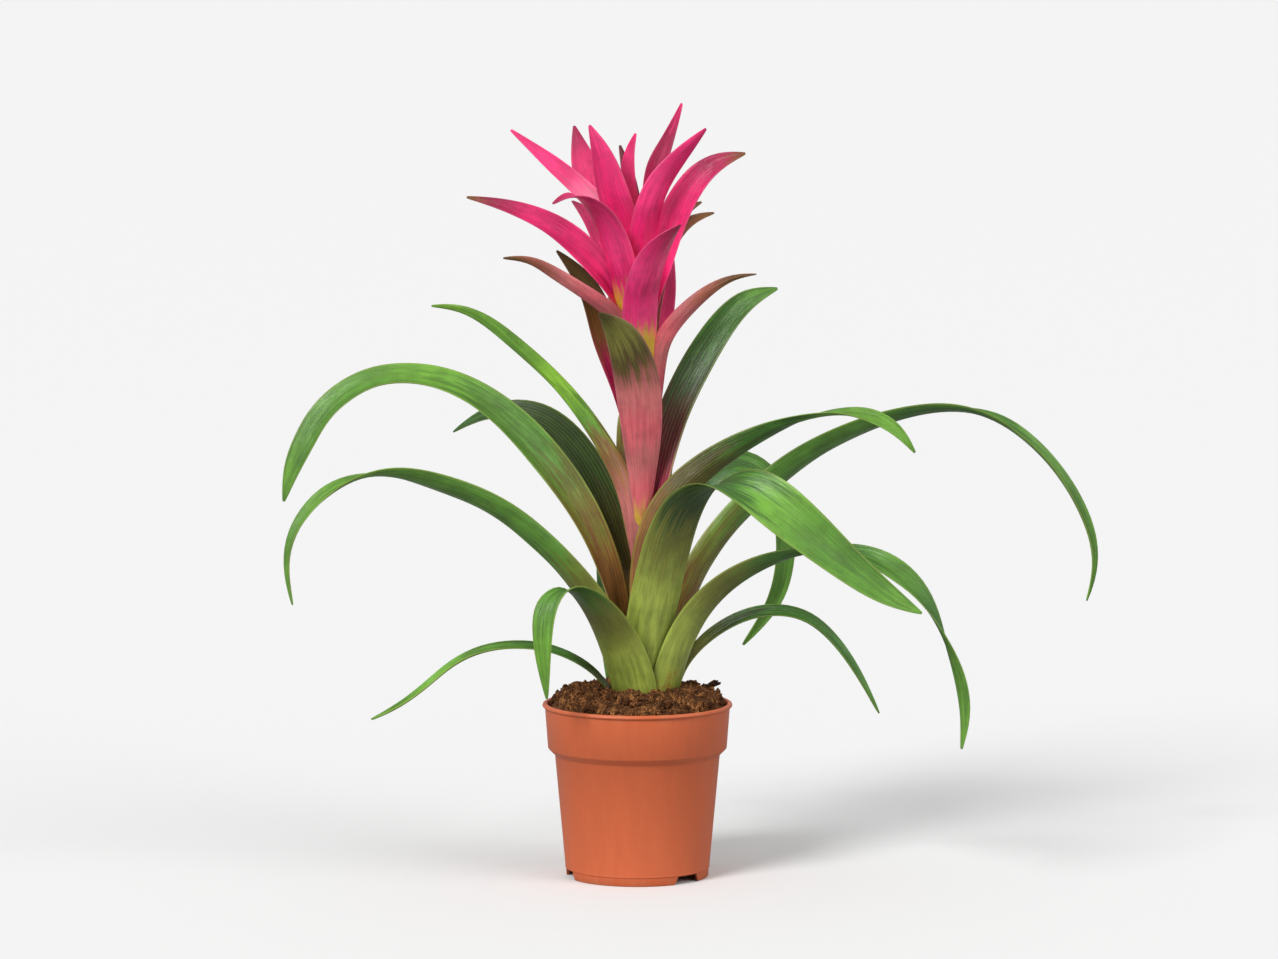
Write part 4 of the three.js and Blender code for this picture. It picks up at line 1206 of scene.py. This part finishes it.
class BROMELIAD_OT_add_stem(bpy.types.Operator):
    """Add the rootstock and flower stalk"""

    bl_idname = "bromeliad.add_stem"
    bl_label = "Stem"

    def execute(self, context):
        top = STEM_HIGH.z
        ground = CROWN.z
        profile = (
            (5 * MM, ground - ROOT_DEPTH),
            (9 * MM, ground - ROOT_DEPTH + 4 * MM),
            (9 * MM, ground - 6 * MM),
            (6 * MM, ground),
            (6 * MM, ground + 8 * MM),
            (4.6 * MM, ground + 92 * MM),
            (3.6 * MM, ground + 214 * MM),
            (2.6 * MM, top - 6 * MM),
            (1.5 * MM, top - 1 * MM),
        )
        stalk = turn_profile("flower_stalk", profile, 32, (CROWN.x, CROWN.y))
        bpy.ops.object.shade_smooth_by_angle(angle=math.radians(50))
        dress(stalk, "stem_tissue", stem_material())
        stand_for(stalk, "stem")
        return {"FINISHED"}


class BROMELIAD_OT_add_foliage(bpy.types.Operator):
    """Add the arching strap leaves round the base"""

    bl_idname = "bromeliad.add_foliage"
    bl_label = "Foliage"

    def execute(self, context):
        sizes = context.scene.bromeliad_sizes
        grow_blades(FOLIAGE, "leaf", sizes.blade_thickness, 0.7)
        return {"FINISHED"}


class BROMELIAD_OT_add_stalk_leaves(bpy.types.Operator):
    """Add the leaves that clasp the flower stalk below the bracts"""

    bl_idname = "bromeliad.add_stalk_leaves"
    bl_label = "Stalk Leaves"

    def execute(self, context):
        sizes = context.scene.bromeliad_sizes
        grow_blades(STALK_LEAVES, "leaf", sizes.blade_thickness, 0.5)
        return {"FINISHED"}


class BROMELIAD_OT_add_bracts(bpy.types.Operator):
    """Add the pink bracts of the flower head"""

    bl_idname = "bromeliad.add_bracts"
    bl_label = "Bracts"

    def execute(self, context):
        sizes = context.scene.bromeliad_sizes
        grow_blades(BRACTS, "bract", sizes.bract_thickness, 0.4)
        return {"FINISHED"}


class BROMELIAD_OT_add_stage(bpy.types.Operator):
    """Add the pale floor, the soft studio lights and the camera"""

    bl_idname = "bromeliad.add_stage"
    bl_label = "Stage"

    def execute(self, context):
        self.add_floor()
        for light in LIGHTS:
            self.add_sun(*light)
        self.add_backdrop(context.scene)
        context.scene.view_settings.view_transform = "Standard"
        camera = bpy.data.objects.new("camera", bpy.data.cameras.new("camera"))
        context.collection.objects.link(camera)
        camera.data.sensor_width = 36
        camera.data.lens = LENS
        camera.data.clip_end = 200
        camera.location = CAMERA_PLACE
        self.aim(camera, CAMERA_TARGET)
        context.scene.camera = camera
        return {"FINISHED"}

    def add_floor(self):
        clear_selection()
        bpy.ops.mesh.primitive_circle_add(
            vertices=64, radius=STAND_RADIUS, location=(0, 0, -0.2 * MM), fill_type="NGON"
        )
        floor = start_piece("studio_floor")
        material, tree, shader = new_material("studio floor", 0.1, roughness=0.9)
        seen = add_node(tree, "LightPath").outputs["Is Camera Ray"]
        skin = blend_colours(tree, seen, (0.35, 0.35, 0.35, 1), (0.8, 0.8, 0.8, 1))
        tree.links.new(skin, shader.inputs["Base Color"])
        floor.data.materials.append(material)

    def add_sun(self, name, place, softness, strength):
        data = bpy.data.lights.new(name, "SUN")
        data.angle = math.radians(softness)
        data.energy = strength
        light = bpy.data.objects.new(name, data)
        bpy.context.collection.objects.link(light)
        light.location = place
        self.aim(light, LIGHT_TARGET)

    def add_backdrop(self, scene):
        """A white surround to the eye that lights the object more dimly."""
        world = bpy.data.worlds.new("white studio")
        world.use_nodes = True
        tree = world.node_tree
        seen = add_node(tree, "LightPath").outputs["Is Camera Ray"]
        strength = add_node(tree, "MapRange", {"Value": seen, 3: 0.5, 4: 1.0})
        backdrop = tree.nodes["Background"].inputs
        backdrop["Color"].default_value = (1, 1, 1, 1)
        tree.links.new(strength.outputs[0], backdrop["Strength"])
        scene.world = world

    def aim(self, thing, target):
        direction = target - thing.location
        thing.rotation_euler = direction.to_track_quat("-Z", "Y").to_euler()


class BROMELIAD_PT_panel(bpy.types.Panel):
    """Sizes, colours and pieces of the potted bromeliad"""

    bl_idname = "BROMELIAD_PT_panel"
    bl_label = "Potted Bromeliad"
    bl_space_type = "VIEW_3D"
    bl_region_type = "UI"
    bl_category = "Bromeliad"

    def draw(self, context):
        layout = self.layout
        for maker in MAKERS:
            layout.operator(maker.bl_idname)
        for group in (context.scene.bromeliad_sizes, context.scene.bromeliad_colours):
            box = layout.box()
            for name in group.__annotations__:
                box.prop(group, name)


MAKERS = (
    BROMELIAD_OT_add_finishes,
    BROMELIAD_OT_add_pot,
    BROMELIAD_OT_add_soil,
    BROMELIAD_OT_add_chips,
    BROMELIAD_OT_add_stem,
    BROMELIAD_OT_add_foliage,
    BROMELIAD_OT_add_stalk_leaves,
    BROMELIAD_OT_add_bracts,
    BROMELIAD_OT_add_stage,
)
CLASSES = (BromeliadSizes, BromeliadColours, *MAKERS, BROMELIAD_PT_panel)


def register():
    for each in CLASSES:
        bpy.utils.register_class(each)
    bpy.types.Scene.bromeliad_sizes = bpy.props.PointerProperty(type=BromeliadSizes)
    bpy.types.Scene.bromeliad_colours = bpy.props.PointerProperty(type=BromeliadColours)


def unregister():
    del bpy.types.Scene.bromeliad_colours
    del bpy.types.Scene.bromeliad_sizes
    for each in reversed(CLASSES):
        bpy.utils.unregister_class(each)


def main():
    register()
    bpy.ops.bromeliad.add_finishes()
    bpy.ops.bromeliad.add_pot()
    bpy.ops.bromeliad.add_soil()
    bpy.ops.bromeliad.add_chips()
    bpy.ops.bromeliad.add_stem()
    bpy.ops.bromeliad.add_foliage()
    bpy.ops.bromeliad.add_stalk_leaves()
    bpy.ops.bromeliad.add_bracts()
    bpy.ops.bromeliad.add_stage()


if __name__ == "__main__":
    main()
